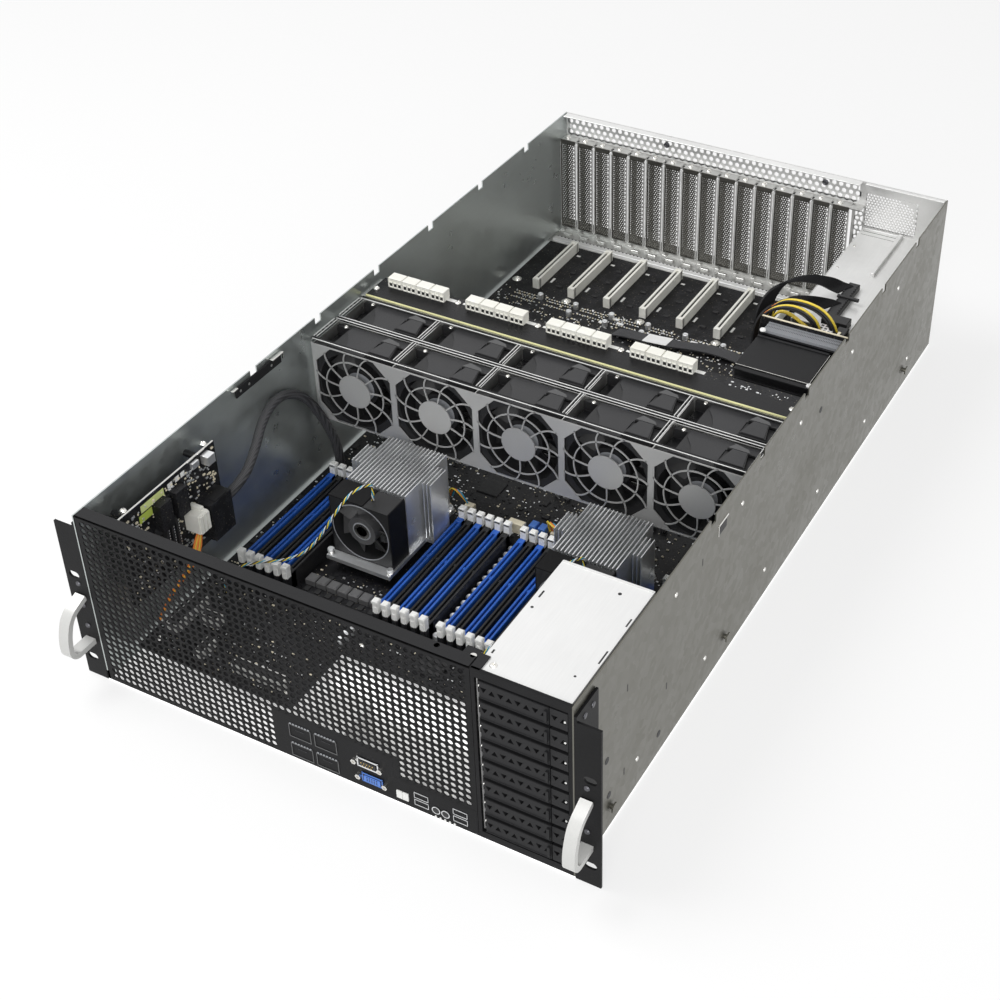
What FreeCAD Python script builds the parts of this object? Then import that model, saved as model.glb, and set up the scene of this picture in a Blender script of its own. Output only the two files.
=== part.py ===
"""Rack server, four units tall, opened: lid off, drive trays at the front right, ten fans in the middle.

Frame: millimetres, +Z up, +Y towards the rear, the front faces -Y.  The origin is the centre of the
underside.  In the functions below a y limit is the distance behind the front plane of the case.
"""
import FreeCAD, Part
import math
import os
import re
import Sketcher

SIZES = [
    # case
    ("body_width", 440), ("body_depth", 800), ("body_height", 175), ("steel", 1.2), ("seat_gap", 0.3),
    ("lid_notch_width", 9), ("lid_notch_depth", 7), ("lid_notch_first", 228), ("lid_notch_pitch", 96),
    ("stud_height", 20), ("stud_radius", 2.2), ("stud_head_radius", 4.5), ("stud_reach", 3.6),
    ("stud_head", 1.2),
    # front plate and drive bay
    ("front_flange", 12), ("mesh_margin", 4), ("mesh_web", 4),
    ("port_field_left", -46), ("port_field_top", 52), ("bay_width", 80.6), ("panel_gap", 0.4),
    ("bezel_thickness", 3),
    ("tray_width", 73.6), ("tray_pitch", "=(body_height - 15) / 8"),
    ("tray_first", "=tray_pitch / 2 + 8"), ("tray_depth", 108), ("tray_side", 1.2),
    ("tray_half_height", "=tray_pitch / 2 - 2.2"), ("tray_play", 0.4), ("cage_depth", 129),
    ("cage_steel", 1), ("runner_reach", 2.4),
    ("drive_width", 69.85), ("drive_depth", 100), ("drive_height", "=tray_pitch - 5.2"),
    ("lever_thickness", 3.5), ("lever_half_height", "=tray_pitch / 2 - 1.8"), ("lever_length", 56.3),
    ("lever_inset", 2.5),
    ("catch_width", 14), ("lever_gap", 0.5), ("hole_side", 5.4), ("hole_pitch", 6.9),
    ("backplane_thickness", 1.6), ("backplane_setback", 3),
    # rack ears and handles
    ("ear_width", 21.3), ("ear_thickness", 2), ("ear_height", "=body_height - 13"), ("ear_flange", 32),
    ("rack_hole_spacing", 465.1), ("ear_slot_low", 20.5), ("ear_slot_rise", 88.9),
    ("ear_slot_length", 10.5),
    ("ear_slot_height", 7), ("handle_width", 10), ("handle_bar", 5), ("handle_low", 40.5),
    ("handle_high", 88), ("handle_reach", 26), ("handle_inset", 5),
    # front connectors
    ("port_board_rise", 2.6), ("board_thickness", 1.6), ("port_board_left", -44), ("port_board_right", 132),
    ("port_board_depth", 64), ("port_setback", 1.6), ("port_sill", 6.4),
    ("button_radius", 2.6), ("button_gap", 0.25), ("button_reach", 1), ("button_length", 7),
    ("button_left", 101), ("button_spacing", 8.4), ("button_rise", 10), ("button_travel", 0.8),
    # main board, memory and coolers
    ("main_board_rise", 10.4), ("main_board_front", 34), ("main_board_rear", 392), ("board_margin", 3),
    ("main_notch_left", -58), ("main_notch_depth", 105),
    ("standoff_radius", 3), ("cpu_left", -97.5), ("cpu_right", 107.5), ("cpu_row", 243),
    ("socket_width", 58),
    ("socket_length", 78), ("socket_height", 12), ("memory_offset", 70.5), ("memory_pitch", 9.4),
    ("memory_row", 219), ("memory_length", 133.4), ("memory_width", 6.4), ("memory_height", 18),
    ("memory_groove", 2), ("memory_groove_depth", 9), ("latch_height", 24), ("latch_depth", 5.4),
    ("latch_width", 5.6), ("latch_rise", 3), ("sink_width", 66), ("sink_length", 108), ("sink_base", 4),
    ("sink_top", 90), ("fin_thickness", 0.9), ("fin_pitch", 3.7), ("fin_front", 226), ("fin_rear", 294),
    ("flank_front", 249), ("flank_rear", 275), ("cooler_fan", 60), ("cooler_fan_depth", 25),
    ("cooler_fan_front", 198.5), ("bracket_steel", 1),
    # fan wall
    ("fan_pitch", 86), ("fan_size", 80), ("fan_depth", 38), ("fan_front", 311), ("fan_floor", 73),
    ("fan_row_gap", 6), ("fan_wall_steel", 1), ("guard_opening", 76), ("guard_corner", 15),
    ("guard_top", 1),
    ("hub_guard_radius", 17), ("ring_guard_radius", 29), ("guard_wire", 1.5), ("bore_radius", 38.4),
    ("blade_gap", 0.8), ("hub_radius", 19), ("motor_radius", 17.5), ("motor_depth", 4), ("rotor_depth", 26),
    ("strut_width", 3.2), ("spin_gap", 0.4), ("clip_height", 5),
    ("clip_left", 14), ("clip_width", 24), ("clip_front", 4), ("clip_depth", 20), ("clip_taper", 5),
    ("frame_flange", 4), ("well_width", 14), ("well_depth", 9),
    # power board
    ("power_board_top", 160), ("power_board_depth", 34), ("plug_width", 15.2), ("plug_pitch", 15.6),
    ("plug_depth", 11), ("plug_height", 10.5), ("plug_group_pitch", 85.5), ("plug_group_first", -173),
    ("plug_setback", 21),
    # card board and rear
    ("card_board_top", 36), ("card_board_front", "=body_depth - 363"),
    ("card_board_rear", "=body_depth - 48"), ("card_board_step", "=body_depth - 202"),
    ("card_board_right", 130), ("card_slot_first", -180), ("card_pitch", 43), ("card_slot_width", 7.5),
    ("card_slot_length", 92), ("card_slot_height", 11.2), ("card_slot_front", "=body_depth - 146"),
    ("card_groove", 2),
    ("card_groove_depth", 8), ("cover_first", -209.6), ("cover_pitch", 21.5), ("cover_width", 18),
    ("cover_plane", "=body_depth - 16"), ("cover_thickness", 1), ("shelf_height", "=body_height - 27"),
    ("shelf_steel", 1.2),
    ("tab_depth", 12), ("window_bar", 6), ("window_low", 41), ("window_high", "=body_height - 32"),
    ("vent_right", 190), ("vent_rise", 3), ("vent_high", "=body_height - 12"), ("vent_round", 20),
    ("band_low", "=shelf_height + 3.5"), ("band_high", "=body_height - 2.5"), ("band_slot", 21),
    ("band_web", 5),
    # power supplies
    ("supply_left", 134.5), ("supply_front", "=body_depth - 200"), ("supply_height", "=body_height - 53"),
    ("supply_wall", 1),
    ("supply_unit_pitch", "=(supply_height - 4) / 3"), ("supply_unit_height", "=supply_unit_pitch - 1.5"),
    ("supply_unit_depth", 185),
    ("supply_recess", 14), ("supply_board_front", "=body_depth - 266"), ("supply_board_left", 130),
    ("supply_board_top", "=body_height - 15"), ("rib_bar_depth", 15), ("rib_bar_height", 12),
    ("rib_bar_top", "=body_height - 19"),
    ("rib_pitch", 5), ("rib_depth", 3), ("block_front", "=body_depth - 338"), ("block_left", 135),
    ("block_width", 71),
    ("block_depth", 52), ("block_top", "=body_height - 24"), ("socket_depth", 30), ("socket_rise", 22),
    # side board
    ("side_board_offset", 18), ("side_board_front", 26), ("side_board_length", 120), ("side_board_low", 66),
    ("side_board_high", "=body_height - 18"), ("side_plug_front", 112), ("side_plug_length", 26),
    ("side_plug_depth", 18),
    ("side_plug_low", 80), ("side_plug_high", 118),
    # leads
    ("sleeve_radius", 4.5), ("lead_radius", 1.4), ("power_lead_radius", 4),
]
LID_NOTCHES = 6
STUD_ROWS = (57, 265, 713)
TRAYS = 8
LEVER_HOLES = 8
FANS = 5
FAN_BLADES = 7
SPOKES = 12
MEMORY_BANKS = (("cpu_left", -1), ("cpu_left", 1), ("cpu_right", -1), ("cpu_right", 1))
SLOTS_PER_BANK = 6
MAIN_FINS = 17
FLANK_FINS = 3
PLUG_GROUPS = 4
PLUGS_PER_GROUP = 4
CARD_SLOTS = 8
COVERS = 16
BAND_SLOTS = 13
SUPPLY_UNITS = 3
NET_PORTS = ((-22, 11.2), (2, 11.2), (-22, 32.2), (2, 32.2))

doc = FreeCAD.newDocument("rack_server")
sheet = doc.addObject("Spreadsheet::Sheet", "Sizes")
for row, (alias, number) in enumerate(SIZES, start=1):
    sheet.set(f"A{row}", alias)
    sheet.set(f"B{row}", str(number))
    sheet.setAlias(f"B{row}", alias)
doc.recompute()

ALIASES = re.compile(r"\b(" + "|".join(alias for alias, number in SIZES) + r")\b")
nodes = []


def ex(text):
    """The expression with every size read from the sheet."""
    return ALIASES.sub(r"Sizes.\1", str(text))


def size(alias):
    """The number that the sheet holds under this alias."""
    return float(sheet.get(alias))


def front(y):
    """A distance behind the front plane, as a coordinate."""
    return f"({y}) - body_depth / 2"


def place(thing, x, y, z):
    """Binds the position of an object to three expressions."""
    for axis, text in zip("xyz", (x, y, z)):
        thing.setExpression(f"Placement.Base.{axis}", ex(text))
    return thing


def node(thing, label):
    """Marks an object as a sub-part of this name."""
    thing.Label = label
    nodes.append(thing)
    return thing


def block(name, x, y, z):
    """A box between two limits along each axis; the y limits are behind the front plane."""
    box = doc.addObject("Part::Box", name)
    for edge, (low, high) in zip(("Length", "Width", "Height"), (x, y, z)):
        box.setExpression(edge, ex(f"({high}) - ({low})"))
    return place(box, x[0], front(y[0]), z[0])


def rod(name, radius, length, x, y, z, axis="z"):
    """A round bar that starts at a point and runs along +x, +y or +z."""
    bar = doc.addObject("Part::Cylinder", name)
    turns = {"x": (FreeCAD.Vector(0, 1, 0), 90), "y": (FreeCAD.Vector(1, 0, 0), -90),
             "z": (FreeCAD.Vector(0, 0, 1), 0)}
    bar.Placement = FreeCAD.Placement(FreeCAD.Vector(), FreeCAD.Rotation(*turns[axis]))
    bar.setExpression("Radius", ex(radius))
    bar.setExpression("Height", ex(length))
    return place(bar, x, front(y), z)


def group(kind, name, things):
    """A Part::MultiFuse or a Part::Compound of several objects."""
    whole = doc.addObject(kind, name)
    setattr(whole, "Links" if kind == "Part::Compound" else "Shapes", list(things))
    return whole


def fuse(name, things):
    return group("Part::MultiFuse", name, things)


def compound(name, things):
    return group("Part::Compound", name, things)


def cut(name, base, tools):
    """The base without the tools, which don't touch each other."""
    result = doc.addObject("Part::Cut", name)
    result.Base = base
    result.Tool = tools[0] if len(tools) == 1 else compound(name + "_tools", tools)
    return result


def new_body(name):
    return doc.addObject("PartDesign::Body", name)


def origin_feature(body, role):
    return next(part for part in body.Origin.OriginFeatures if part.Role == role)


def outline(body, name, plane, points, offset=None):
    """A closed sketch on one of the body's planes; every corner is bound to two expressions."""
    sketch = body.newObject("Sketcher::SketchObject", name)
    sketch.AttachmentSupport = (origin_feature(body, plane), [""])
    sketch.MapMode = "FlatFace"
    if offset is not None:
        sketch.setExpression("AttachmentOffset.Base.z", ex(offset))
    count = len(points)
    start = [FreeCAD.Vector(math.cos(math.tau * i / count), math.sin(math.tau * i / count),
                            0) for i in range(count)]
    for i in range(count):
        sketch.addGeometry(Part.LineSegment(start[i], start[(i + 1) % count]), False)
    for i in range(count):
        sketch.addConstraint(Sketcher.Constraint("Coincident", i, 2, (i + 1) % count, 1))
    for i, corner in enumerate(points):
        for kind, text in zip(("DistanceX", "DistanceY"), corner):
            index = sketch.addConstraint(Sketcher.Constraint(kind, -1, 1, i, 1, 1.0))
            sketch.setExpression(f"Constraints[{index}]", ex(text))
    return sketch


def pad(body, name, sketch, length, reverse=False):
    feature = body.newObject("PartDesign::Pad", name)
    feature.Profile = sketch
    feature.setExpression("Length", ex(length))
    feature.Reversed = reverse
    return feature


def route(points):
    """A path of straight runs joined by tangent arcs, each as large as its two runs allow, and their radii."""
    corners = [FreeCAD.Vector(*point) for point in points]
    edges, radii = [], []
    start = corners[0]
    for before, corner, after in zip(corners, corners[1:], corners[2:]):
        back, ahead = (before - corner), (after - corner)
        shorter = min(back.Length, ahead.Length)
        turn = math.pi - back.getAngle(ahead)
        reach = 0.45 * shorter
        radii.append(reach / math.tan(turn / 2))
        first = corner + back.normalize() * reach
        last = corner + ahead.normalize() * reach
        bisector = (back + ahead).normalize()
        sagitta = radii[-1] / math.cos(turn / 2) - radii[-1]
        edges.append(Part.LineSegment(start, first).toShape())
        edges.append(Part.Arc(first, corner + bisector * sagitta, last).toShape())
        start = last
    edges.append(Part.LineSegment(start, corners[-1]).toShape())
    return Part.Wire(edges), radii


def tube(name, points, radius):
    """A round lead along a route; prints its smallest bend and compares its volume with section times length."""
    path, radii = route(points)
    tangent = path.Edges[0].tangentAt(path.Edges[0].FirstParameter)
    section = Part.Wire(Part.makeCircle(radius, FreeCAD.Vector(*points[0]), tangent))
    solid = path.makePipeShell([section], True, False)
    share = solid.Volume / (math.pi * radius**2 * path.Length)
    bends = ", ".join(f"{r:.1f}" for r in radii)
    print(f"{name}: length {path.Length:.0f}, bend radii {bends}, volume share {share:.4f}")
    lead = doc.addObject("Part::Feature", name)
    lead.Shape = solid
    return lead


# The case: bottom pan with pressed-in standoffs, two side walls, rear panel

def base_pan():
    pan = block("pan_sheet", ("-body_width / 2", "body_width / 2"), ("0", "body_depth"), ("0", "steel"))
    posts = []
    for column, x in enumerate(("-body_width / 2 + 18", "-30", "60", "body_width / 2 - 18")):
        rows = ["main_board_rear - 90", "main_board_rear - 12"]
        if column < 3:
            rows.append("main_board_front + 12" if column == 0 else "main_notch_depth + 12")
        for row, y in enumerate(rows):
            posts.append(rod(f"main_post_{column}_{row}", "standoff_radius", "main_board_rise", x, y, "0"))
    node(fuse("BasePan", [pan] + posts), "base_pan")


def side_wall(side, label):
    """Sheet with hook notches for the lid along its top edge and three rail studs outside."""
    body = new_body(f"WallSheet{side:+d}".replace("+", "Right").replace("-", "Left"))
    points = [("-body_depth / 2", "steel"), ("body_depth / 2", "steel"), ("body_depth / 2", "body_height")]
    for index in reversed(range(LID_NOTCHES)):
        middle = front(f"lid_notch_first + {index} * lid_notch_pitch")
        low = "body_height - lid_notch_depth"
        points += [(f"{middle} + lid_notch_width / 2", "body_height"),
                   (f"{middle} + lid_notch_width / 2", low),
                   (f"{middle} - lid_notch_width / 2", low),
                   (f"{middle} - lid_notch_width / 2", "body_height")]
    points.append(("-body_depth / 2", "body_height"))
    pad(body, f"{label}_pad", outline(body, f"{label}_outline", "YZ_Plane", points), "steel")
    place(body, "body_width / 2 - steel" if side > 0 else "-body_width / 2", "0", "0")
    pieces = [body]
    for index, y in enumerate(STUD_ROWS):
        stem_start = "body_width / 2 - steel" if side > 0 else "-body_width / 2 - stud_reach + stud_head"
        head_start = "body_width / 2 + stud_reach - stud_head" if side > 0 else "-body_width / 2 - stud_reach"
        stem = rod(f"{label}_stem_{index}", "stud_radius", "steel + stud_reach - stud_head", stem_start, y,
                   "stud_height", "x")
        head = rod(f"{label}_head_{index}", "stud_head_radius", "stud_head", head_start, y, "stud_height",
                   "x")
        pieces += [stem, head]
    node(fuse(f"{label}_fused", pieces), label)


def rear_panel():
    inner = "body_width / 2 - steel"
    sheet_plate = block("rear_sheet", (f"-({inner})", inner), ("body_depth - steel", "body_depth"),
                        ("steel", "body_height"))
    through = ("body_depth - 2 * steel", "body_depth + steel")
    windows = []
    for index in range(COVERS):
        middle = f"(cover_first + {index} * cover_pitch)"
        half = "(cover_pitch - window_bar) / 2"
        windows.append(block(f"rear_window_{index}", (f"{middle} - {half}", f"{middle} + {half}"), through,
                             ("window_low", "window_high")))
    windows.append(block("supply_window",
                         ("supply_left + supply_wall", f"{inner} - supply_wall - seat_gap"), through,
                         ("steel + supply_wall", "supply_height - supply_wall")))
    for index in range(BAND_SLOTS):
        start = f"(-({inner}) + 4.4 + {index} * (band_slot + band_web))"
        windows.append(block(f"band_window_{index}", (start, f"{start} + band_slot"), through,
                             ("band_low", "band_high")))
    vent = ("supply_left + supply_wall", "vent_right", "supply_height + vent_rise", "vent_high")
    windows.append(block("vent_low", vent[:2], through, (vent[2], f"{vent[3]} - vent_round")))
    windows.append(block("vent_left", (vent[0], f"{vent[1]} - vent_round"), through, vent[2:]))
    windows.append(rod("vent_arch", "vent_round", "3 * steel", f"{vent[1]} - vent_round",
                       "body_depth - 2 * steel", f"{vent[3]} - vent_round", "y"))
    node(cut("RearPanel", sheet_plate, windows), "rear_panel")


def card_rails():
    """Shelf that the cover tabs lie on, the lower rail level with the card board, and the posts below the board."""
    left = "-body_width / 2 + steel + seat_gap"
    right = "supply_left - seat_gap"
    shelf = block("card_shelf", (left, right),
                  ("cover_plane + cover_thickness + seat_gap", "body_depth - steel"),
                  ("shelf_height - shelf_steel", "shelf_height"))
    flat = block("rail_flat", (left, right), ("card_board_rear + seat_gap", "body_depth - steel"),
                 ("card_board_top - board_thickness", "card_board_top"))
    lip = block("rail_lip", (left, right),
                ("cover_plane - shelf_steel - seat_gap", "cover_plane - seat_gap"),
                ("card_board_top - board_thickness", "card_board_top + 4"))
    posts = []
    for column, x in enumerate(("-body_width / 2 + 18", "-72", "card_board_right - 30")):
        for row, y in enumerate(("card_board_front + 10", "card_board_step - 12", "card_board_rear - 12")):
            posts.append(rod(f"card_post_{column}_{row}", "standoff_radius",
                             "card_board_top - board_thickness - steel",
                             x, y, "steel"))
    node(compound("CardRails", [shelf, fuse("lower_rail", [flat, lip])] + posts), "card_rails")


def slot_covers():
    covers = []
    for index in range(COVERS):
        middle = f"(cover_first + {index} * cover_pitch)"
        across = (f"{middle} - cover_width / 2", f"{middle} + cover_width / 2")
        plate = block(f"cover_plate_{index}", across, ("cover_plane", "cover_plane + cover_thickness"),
                      ("card_board_top", "shelf_height + cover_thickness"))
        tab = block(f"cover_tab_{index}", across, ("cover_plane", "cover_plane + tab_depth"),
                    ("shelf_height", "shelf_height + cover_thickness"))
        covers.append(fuse(f"cover_{index}", [plate, tab]))
    node(compound("SlotCovers", covers), "slot_covers")


# The front: plate with connector cut-outs, drive bay bezel, rack ears and handles

def opening_grid(name, x, z, columns, rows):
    """Rectangular openings with webs between them, for the air that the fine mesh of the plate lets in."""
    wide = f"(({x[1]}) - ({x[0]}) + mesh_web) / {columns}"
    tall = f"(({z[1]}) - ({z[0]}) + mesh_web) / {rows}"
    holes = []
    for index in range(columns * rows):
        row, column = divmod(index, columns)
        left = f"({x[0]}) + {column} * {wide}"
        low = f"({z[0]}) + {row} * {tall}"
        holes.append(block(f"{name}_{index}", (left, f"{left} + {wide} - mesh_web"),
                           ("-steel", "2 * steel"),
                           (low, f"{low} + {tall} - mesh_web")))
    return holes


def front_plate():
    left = "-body_width / 2 + steel"
    right = "body_width / 2 - steel - bay_width - panel_gap"
    top = "body_height - steel - mesh_margin"
    face = block("plate_face", (left, right), ("0", "steel"), ("steel", "body_height"))
    flange = block("plate_flange", (left, right), ("0", "front_flange"),
                   ("body_height - steel", "body_height"))
    through = ("-steel", "2 * steel")
    holes = [block(f"net_hole_{i}", (x - 10.3, x + 10.3), through, (z - 6.8, z + 6.8))
             for i, (x, z) in enumerate(NET_PORTS)]
    holes.append(block("serial_hole", (32, 50), through, (25, 34)))
    holes.append(block("video_hole", (35, 53), through, (9.5, 18.5)))
    holes.append(block("round_port_hole", (65, 77), through, (5.5, 15.5)))
    for index, x in enumerate((88, 122.5)):
        holes.append(block(f"usb_hole_{index}", (x - 7, x + 7), through, (6, 22)))
    for index in range(2):
        holes.append(rod(f"button_hole_{index}", "button_radius + button_gap", "3 * steel",
                         f"button_left + {index} * button_spacing", "-steel", "button_rise", "y"))
    holes += opening_grid("mesh_left", (f"{left} + mesh_margin", "port_field_left"),
                          ("steel + mesh_margin", top), 6, 5)
    holes += opening_grid("mesh_right", ("port_field_left + mesh_web", f"{right} - mesh_margin"),
                          ("port_field_top", top), 6, 4)
    node(cut("FrontPlate", fuse("plate_fused", [face, flange]), holes), "front_plate")


def drive_bezel():
    right = "body_width / 2 - steel"
    frame = block("bezel_frame", (f"{right} - bay_width", right), ("0", "bezel_thickness"),
                  ("steel", "body_height"))
    half = "(tray_width / 2 + tray_play)"
    middle = f"({right} - bay_width / 2)"
    opening = block("bezel_opening", (f"{middle} - {half}", f"{middle} + {half}"),
                    ("-steel", "bezel_thickness + steel"),
                    ("tray_first - tray_pitch / 2", f"tray_first + {TRAYS} * tray_pitch - tray_pitch / 2"))
    node(cut("DriveBezel", frame, [opening]), "drive_bezel")


BAY_MIDDLE = "(body_width / 2 - steel - bay_width / 2)"


def drive_cage():
    """Square tube, open at the front, with a pair of runners below each tray; the back board closes it."""
    half_inner = "(tray_width / 2 + tray_play)"
    start = "bezel_thickness"
    end = "bezel_thickness + cage_depth"
    outer = block("cage_outer",
                  (f"{BAY_MIDDLE} - {half_inner} - cage_steel",
                   f"{BAY_MIDDLE} + {half_inner} + cage_steel"),
                  (start, end), ("steel", "body_height - steel"))
    inner = block("cage_inner", (f"{BAY_MIDDLE} - {half_inner}", f"{BAY_MIDDLE} + {half_inner}"),
                  (f"{start} - 1", f"{end} + 1"),
                  ("steel + cage_steel", "body_height - steel - cage_steel"))
    pieces = [cut("cage_tube", outer, [inner])]
    for index in range(TRAYS):
        top = f"(tray_first + {index} * tray_pitch - tray_half_height - seat_gap)"
        for side in (-1, 1):
            wall = f"({BAY_MIDDLE} + {side} * {half_inner})"
            across = (wall, f"{wall} - {side} * runner_reach") if side < 0 else (f"{wall} - runner_reach",
                                                                                 wall)
            pieces.append(block(f"runner_{index}_{side + 1}", across, ("bezel_thickness + 4", "tray_depth"),
                                (f"{top} - cage_steel", top)))
    node(fuse("DriveCage", pieces), "drive_cage")
    rear = "bezel_thickness + cage_depth - backplane_setback"
    board = block("BackBoard", (f"{BAY_MIDDLE} - {half_inner}", f"{BAY_MIDDLE} + {half_inner}"),
                  (f"{rear} - backplane_thickness", rear),
                  ("steel + cage_steel", "body_height - steel - cage_steel"))
    node(board, "drive_backplane")


def triangle_holes(name, count, first_x, middle_z, y):
    """Prisms with a triangular section, points up and down in turn."""
    prisms = []
    for index in range(count):
        x = f"({first_x} + {index} * hole_pitch)"
        up = 1 if index % 2 else -1
        body = new_body(f"{name}_{index}")
        half = "hole_side / 2"
        rise = f"{up} * hole_side * 0.43"
        points = [(f"{x} - {half}", f"{middle_z} - {rise}"), (f"{x} + {half}", f"{middle_z} - {rise}"),
                  (x, f"{middle_z} + {rise}")]
        pad(body, f"{name}_pad_{index}", outline(body, f"{name}_sketch_{index}", "XZ_Plane", points),
            "lever_thickness + 6", reverse=True)
        prisms.append(place(body, "0", front(y), "0"))
    return prisms


def drive_tray(index):
    """Tray with rails, floor and catch, the drive on it, and the lever that swings out to the front."""
    z = f"(tray_first + {index} * tray_pitch)"
    left = f"({BAY_MIDDLE} - tray_width / 2)"
    right = f"({BAY_MIDDLE} + tray_width / 2)"
    low = f"{z} - tray_half_height"
    back = "lever_thickness + lever_gap"
    rail_top = f"{z} + tray_half_height - 1"
    pieces = [
        block(f"tray_floor_{index}", (left, right), (back, "tray_depth"), (low, f"{low} + 1")),
        block(f"tray_left_{index}", (left, f"{left} + tray_side"), (back, "tray_depth"), (low, rail_top)),
        block(f"tray_right_{index}", (f"{right} - tray_side", right), (back, "tray_depth"),
              (low, rail_top)),
        block(f"tray_catch_{index}", (f"{right} - catch_width", right), ("0", back),
              (f"{z} - lever_half_height", f"{z} + lever_half_height")),
    ]
    holes = triangle_holes(f"catch_hole_{index}", 2, f"{right} - catch_width / 2 - hole_pitch / 2", z, "-1")
    tray = cut(f"tray_{index}", fuse(f"tray_fused_{index}", pieces), holes)
    drive = block(f"drive_{index}", (f"{BAY_MIDDLE} - drive_width / 2", f"{BAY_MIDDLE} + drive_width / 2"),
                  ("tray_depth - drive_depth", "tray_depth"), (f"{low} + 1", f"{low} + 1 + drive_height"))
    node(compound(f"DriveTray{index}", [tray, drive]), f"drive_tray_{index + 1}")
    start = f"({left} + lever_inset)"
    bar = block(f"lever_bar_{index}", (f"{start} + lever_thickness / 2", f"{start} + lever_length"),
                ("0", "lever_thickness"),
                (f"{z} - lever_half_height", f"{z} + lever_half_height"))
    knuckle = rod(f"lever_knuckle_{index}", "lever_thickness / 2", "2 * lever_half_height",
                  f"{start} + lever_thickness / 2", "lever_thickness / 2", f"{z} - lever_half_height")
    face = fuse(f"lever_face_{index}", [bar, knuckle])
    holes = triangle_holes(f"lever_hole_{index}", LEVER_HOLES, f"{start} + 4.2", z, "-1")
    node(cut(f"TrayLever{index}", face, holes), f"tray_lever_{index + 1}")


def rack_ears():
    ears, handles = [], []
    for side in (-1, 1):
        inner = f"{side} * (body_width / 2 + seat_gap)"
        outer = f"{side} * (body_width / 2 + ear_width)"
        across = (inner, outer) if side > 0 else (outer, inner)
        plate = block(f"ear_plate_{side + 1}", across, ("0", "ear_thickness"), ("0", "ear_height"))
        beside = (inner, f"{inner} + ear_thickness") if side > 0 else (f"{inner} - ear_thickness", inner)
        flange = block(f"ear_flange_{side + 1}", beside, ("0", "ear_flange"), ("4", "ear_height + 5"))
        slots = []
        for level in range(2):
            z = f"(ear_slot_low + {level} * ear_slot_rise)"
            x = f"({side} * rack_hole_spacing / 2)"
            straight = "(ear_slot_length - ear_slot_height) / 2"
            bar = block(f"ear_slot_{side + 1}_{level}", (f"{x} - {straight}", f"{x} + {straight}"),
                        ("-1", "ear_thickness + 1"),
                        (f"{z} - ear_slot_height / 2", f"{z} + ear_slot_height / 2"))
            ends = [rod(f"ear_end_{side + 1}_{level}_{end + 1}", "ear_slot_height / 2", "ear_thickness + 2",
                        f"{x} + {end} * {straight}", "-1", z, "y") for end in (-1, 1)]
            slots.append(fuse(f"ear_slot_fused_{side + 1}_{level}", [bar] + ends))
        ears.append(cut(f"ear_{side + 1}", fuse(f"ear_fused_{side + 1}", [plate, flange]), slots))
        handles.append(handle(side))
    node(compound("RackEars", ears), "rack_ears")
    node(compound("EarHandles", handles), "ear_handles")


def handle(side):
    """Flat bar bent to a bow: out from the ear near its lower slot, up, and back to the ear in a long curve."""
    x = side * (size("body_width") / 2 + size("handle_inset") + size("handle_width") / 2)
    face = -size("body_depth") / 2
    reach = size("handle_reach")
    low, high = size("handle_low"), size("handle_high")
    points = [(x, face, low), (x, face - reach, low), (x, face - reach, low + 0.42 * (high - low)),
              (x, face - 0.72 * reach, low + 0.84 * (high - low)), (x, face, high)]
    path, radii = route(points)
    half, bar = size("handle_width") / 2, size("handle_bar") / 2
    corners = [FreeCAD.Vector(x + a * half, face, low + b * bar) for a,
               b in ((-1, -1), (1, -1), (1, 1), (-1, 1))]
    section = Part.makePolygon(corners + corners[:1])
    solid = path.makePipeShell([section], True, False)
    clear = Part.makeBox(60, 30, size("body_height"), FreeCAD.Vector(x - 30, face, 0))
    bow = doc.addObject("Part::Feature", f"handle_{side + 1}")
    bow.Shape = solid.cut(clear)
    return bow


def front_connectors():
    """Small board on the pan with the connector blocks that show in the front plate, and two buttons."""
    top = "port_board_rise + board_thickness"
    board = block("port_sheet", ("port_board_left", "port_board_right"),
                  ("steel + seat_gap", "port_board_depth"),
                  ("port_board_rise", top))
    back = "port_setback"
    pieces = [board]
    for index, x in enumerate(("port_board_left + 6", "port_board_right - 6")):
        for row, y in enumerate((8, "port_board_depth - 6")):
            pieces.append(rod(f"port_post_{index}_{row}", "standoff_radius", "port_board_rise - steel", x,
                              y, "steel"))
    net = block("net_block", (-34.5, 14.5), (back, 46), (top, 41))
    pieces.append(cut("net_cage", net, [block(f"net_bay_{i}", (x - 8, x + 8), ("0", 24), (z - 5, z + 5))
                                        for i, (x, z) in enumerate(NET_PORTS)]))
    pieces.append(block("serial_block", (27, 58), (back, 16), (top, 37)))
    pieces.append(block("serial_nose", (32.4, 49.6), ("-1", 16), (25.4, 33.6)))
    pieces.append(block("video_nose", (35.4, 52.6), ("-1", 16), (9.9, 18.1)))
    pieces.append(block("round_port_block", (65.4, 76.6), ("0.2", 14), ("port_sill", 15.1)))
    pieces.append(block("round_port_foot", (65.4, 76.6), (back, 14), (top, "port_sill")))
    for index, x in enumerate((88, 122.5)):
        stack = block(f"usb_block_{index}", (x - 6.6, x + 6.6), ("0.2", 19), ("port_sill", 21.6))
        pieces.append(block(f"usb_foot_{index}", (x - 6.6, x + 6.6), (back, 19), (top, "port_sill")))
        pieces.append(cut(f"usb_stack_{index}", stack, [
            block(f"usb_bay_{index}_{level}", (x - 5.8, x + 5.8), ("-1", 12), (z, z + 5.2))
            for level, z in enumerate((7.2, 14.8))]))
    pieces.append(block("switch_block", ("button_left - 4", "button_left + button_spacing + 4"),
                        ("button_length - button_reach + button_travel + seat_gap", 14),
                        (top, "button_rise + 4")))
    node(fuse("PortBoard", pieces), "port_board")
    for index, label in enumerate(("power_button", "reset_button")):
        cap = rod(f"Button{index}", "button_radius", "button_length",
                  f"button_left + {index} * button_spacing",
                  "-button_reach", "button_rise", "y")
        node(cap, label)


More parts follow.
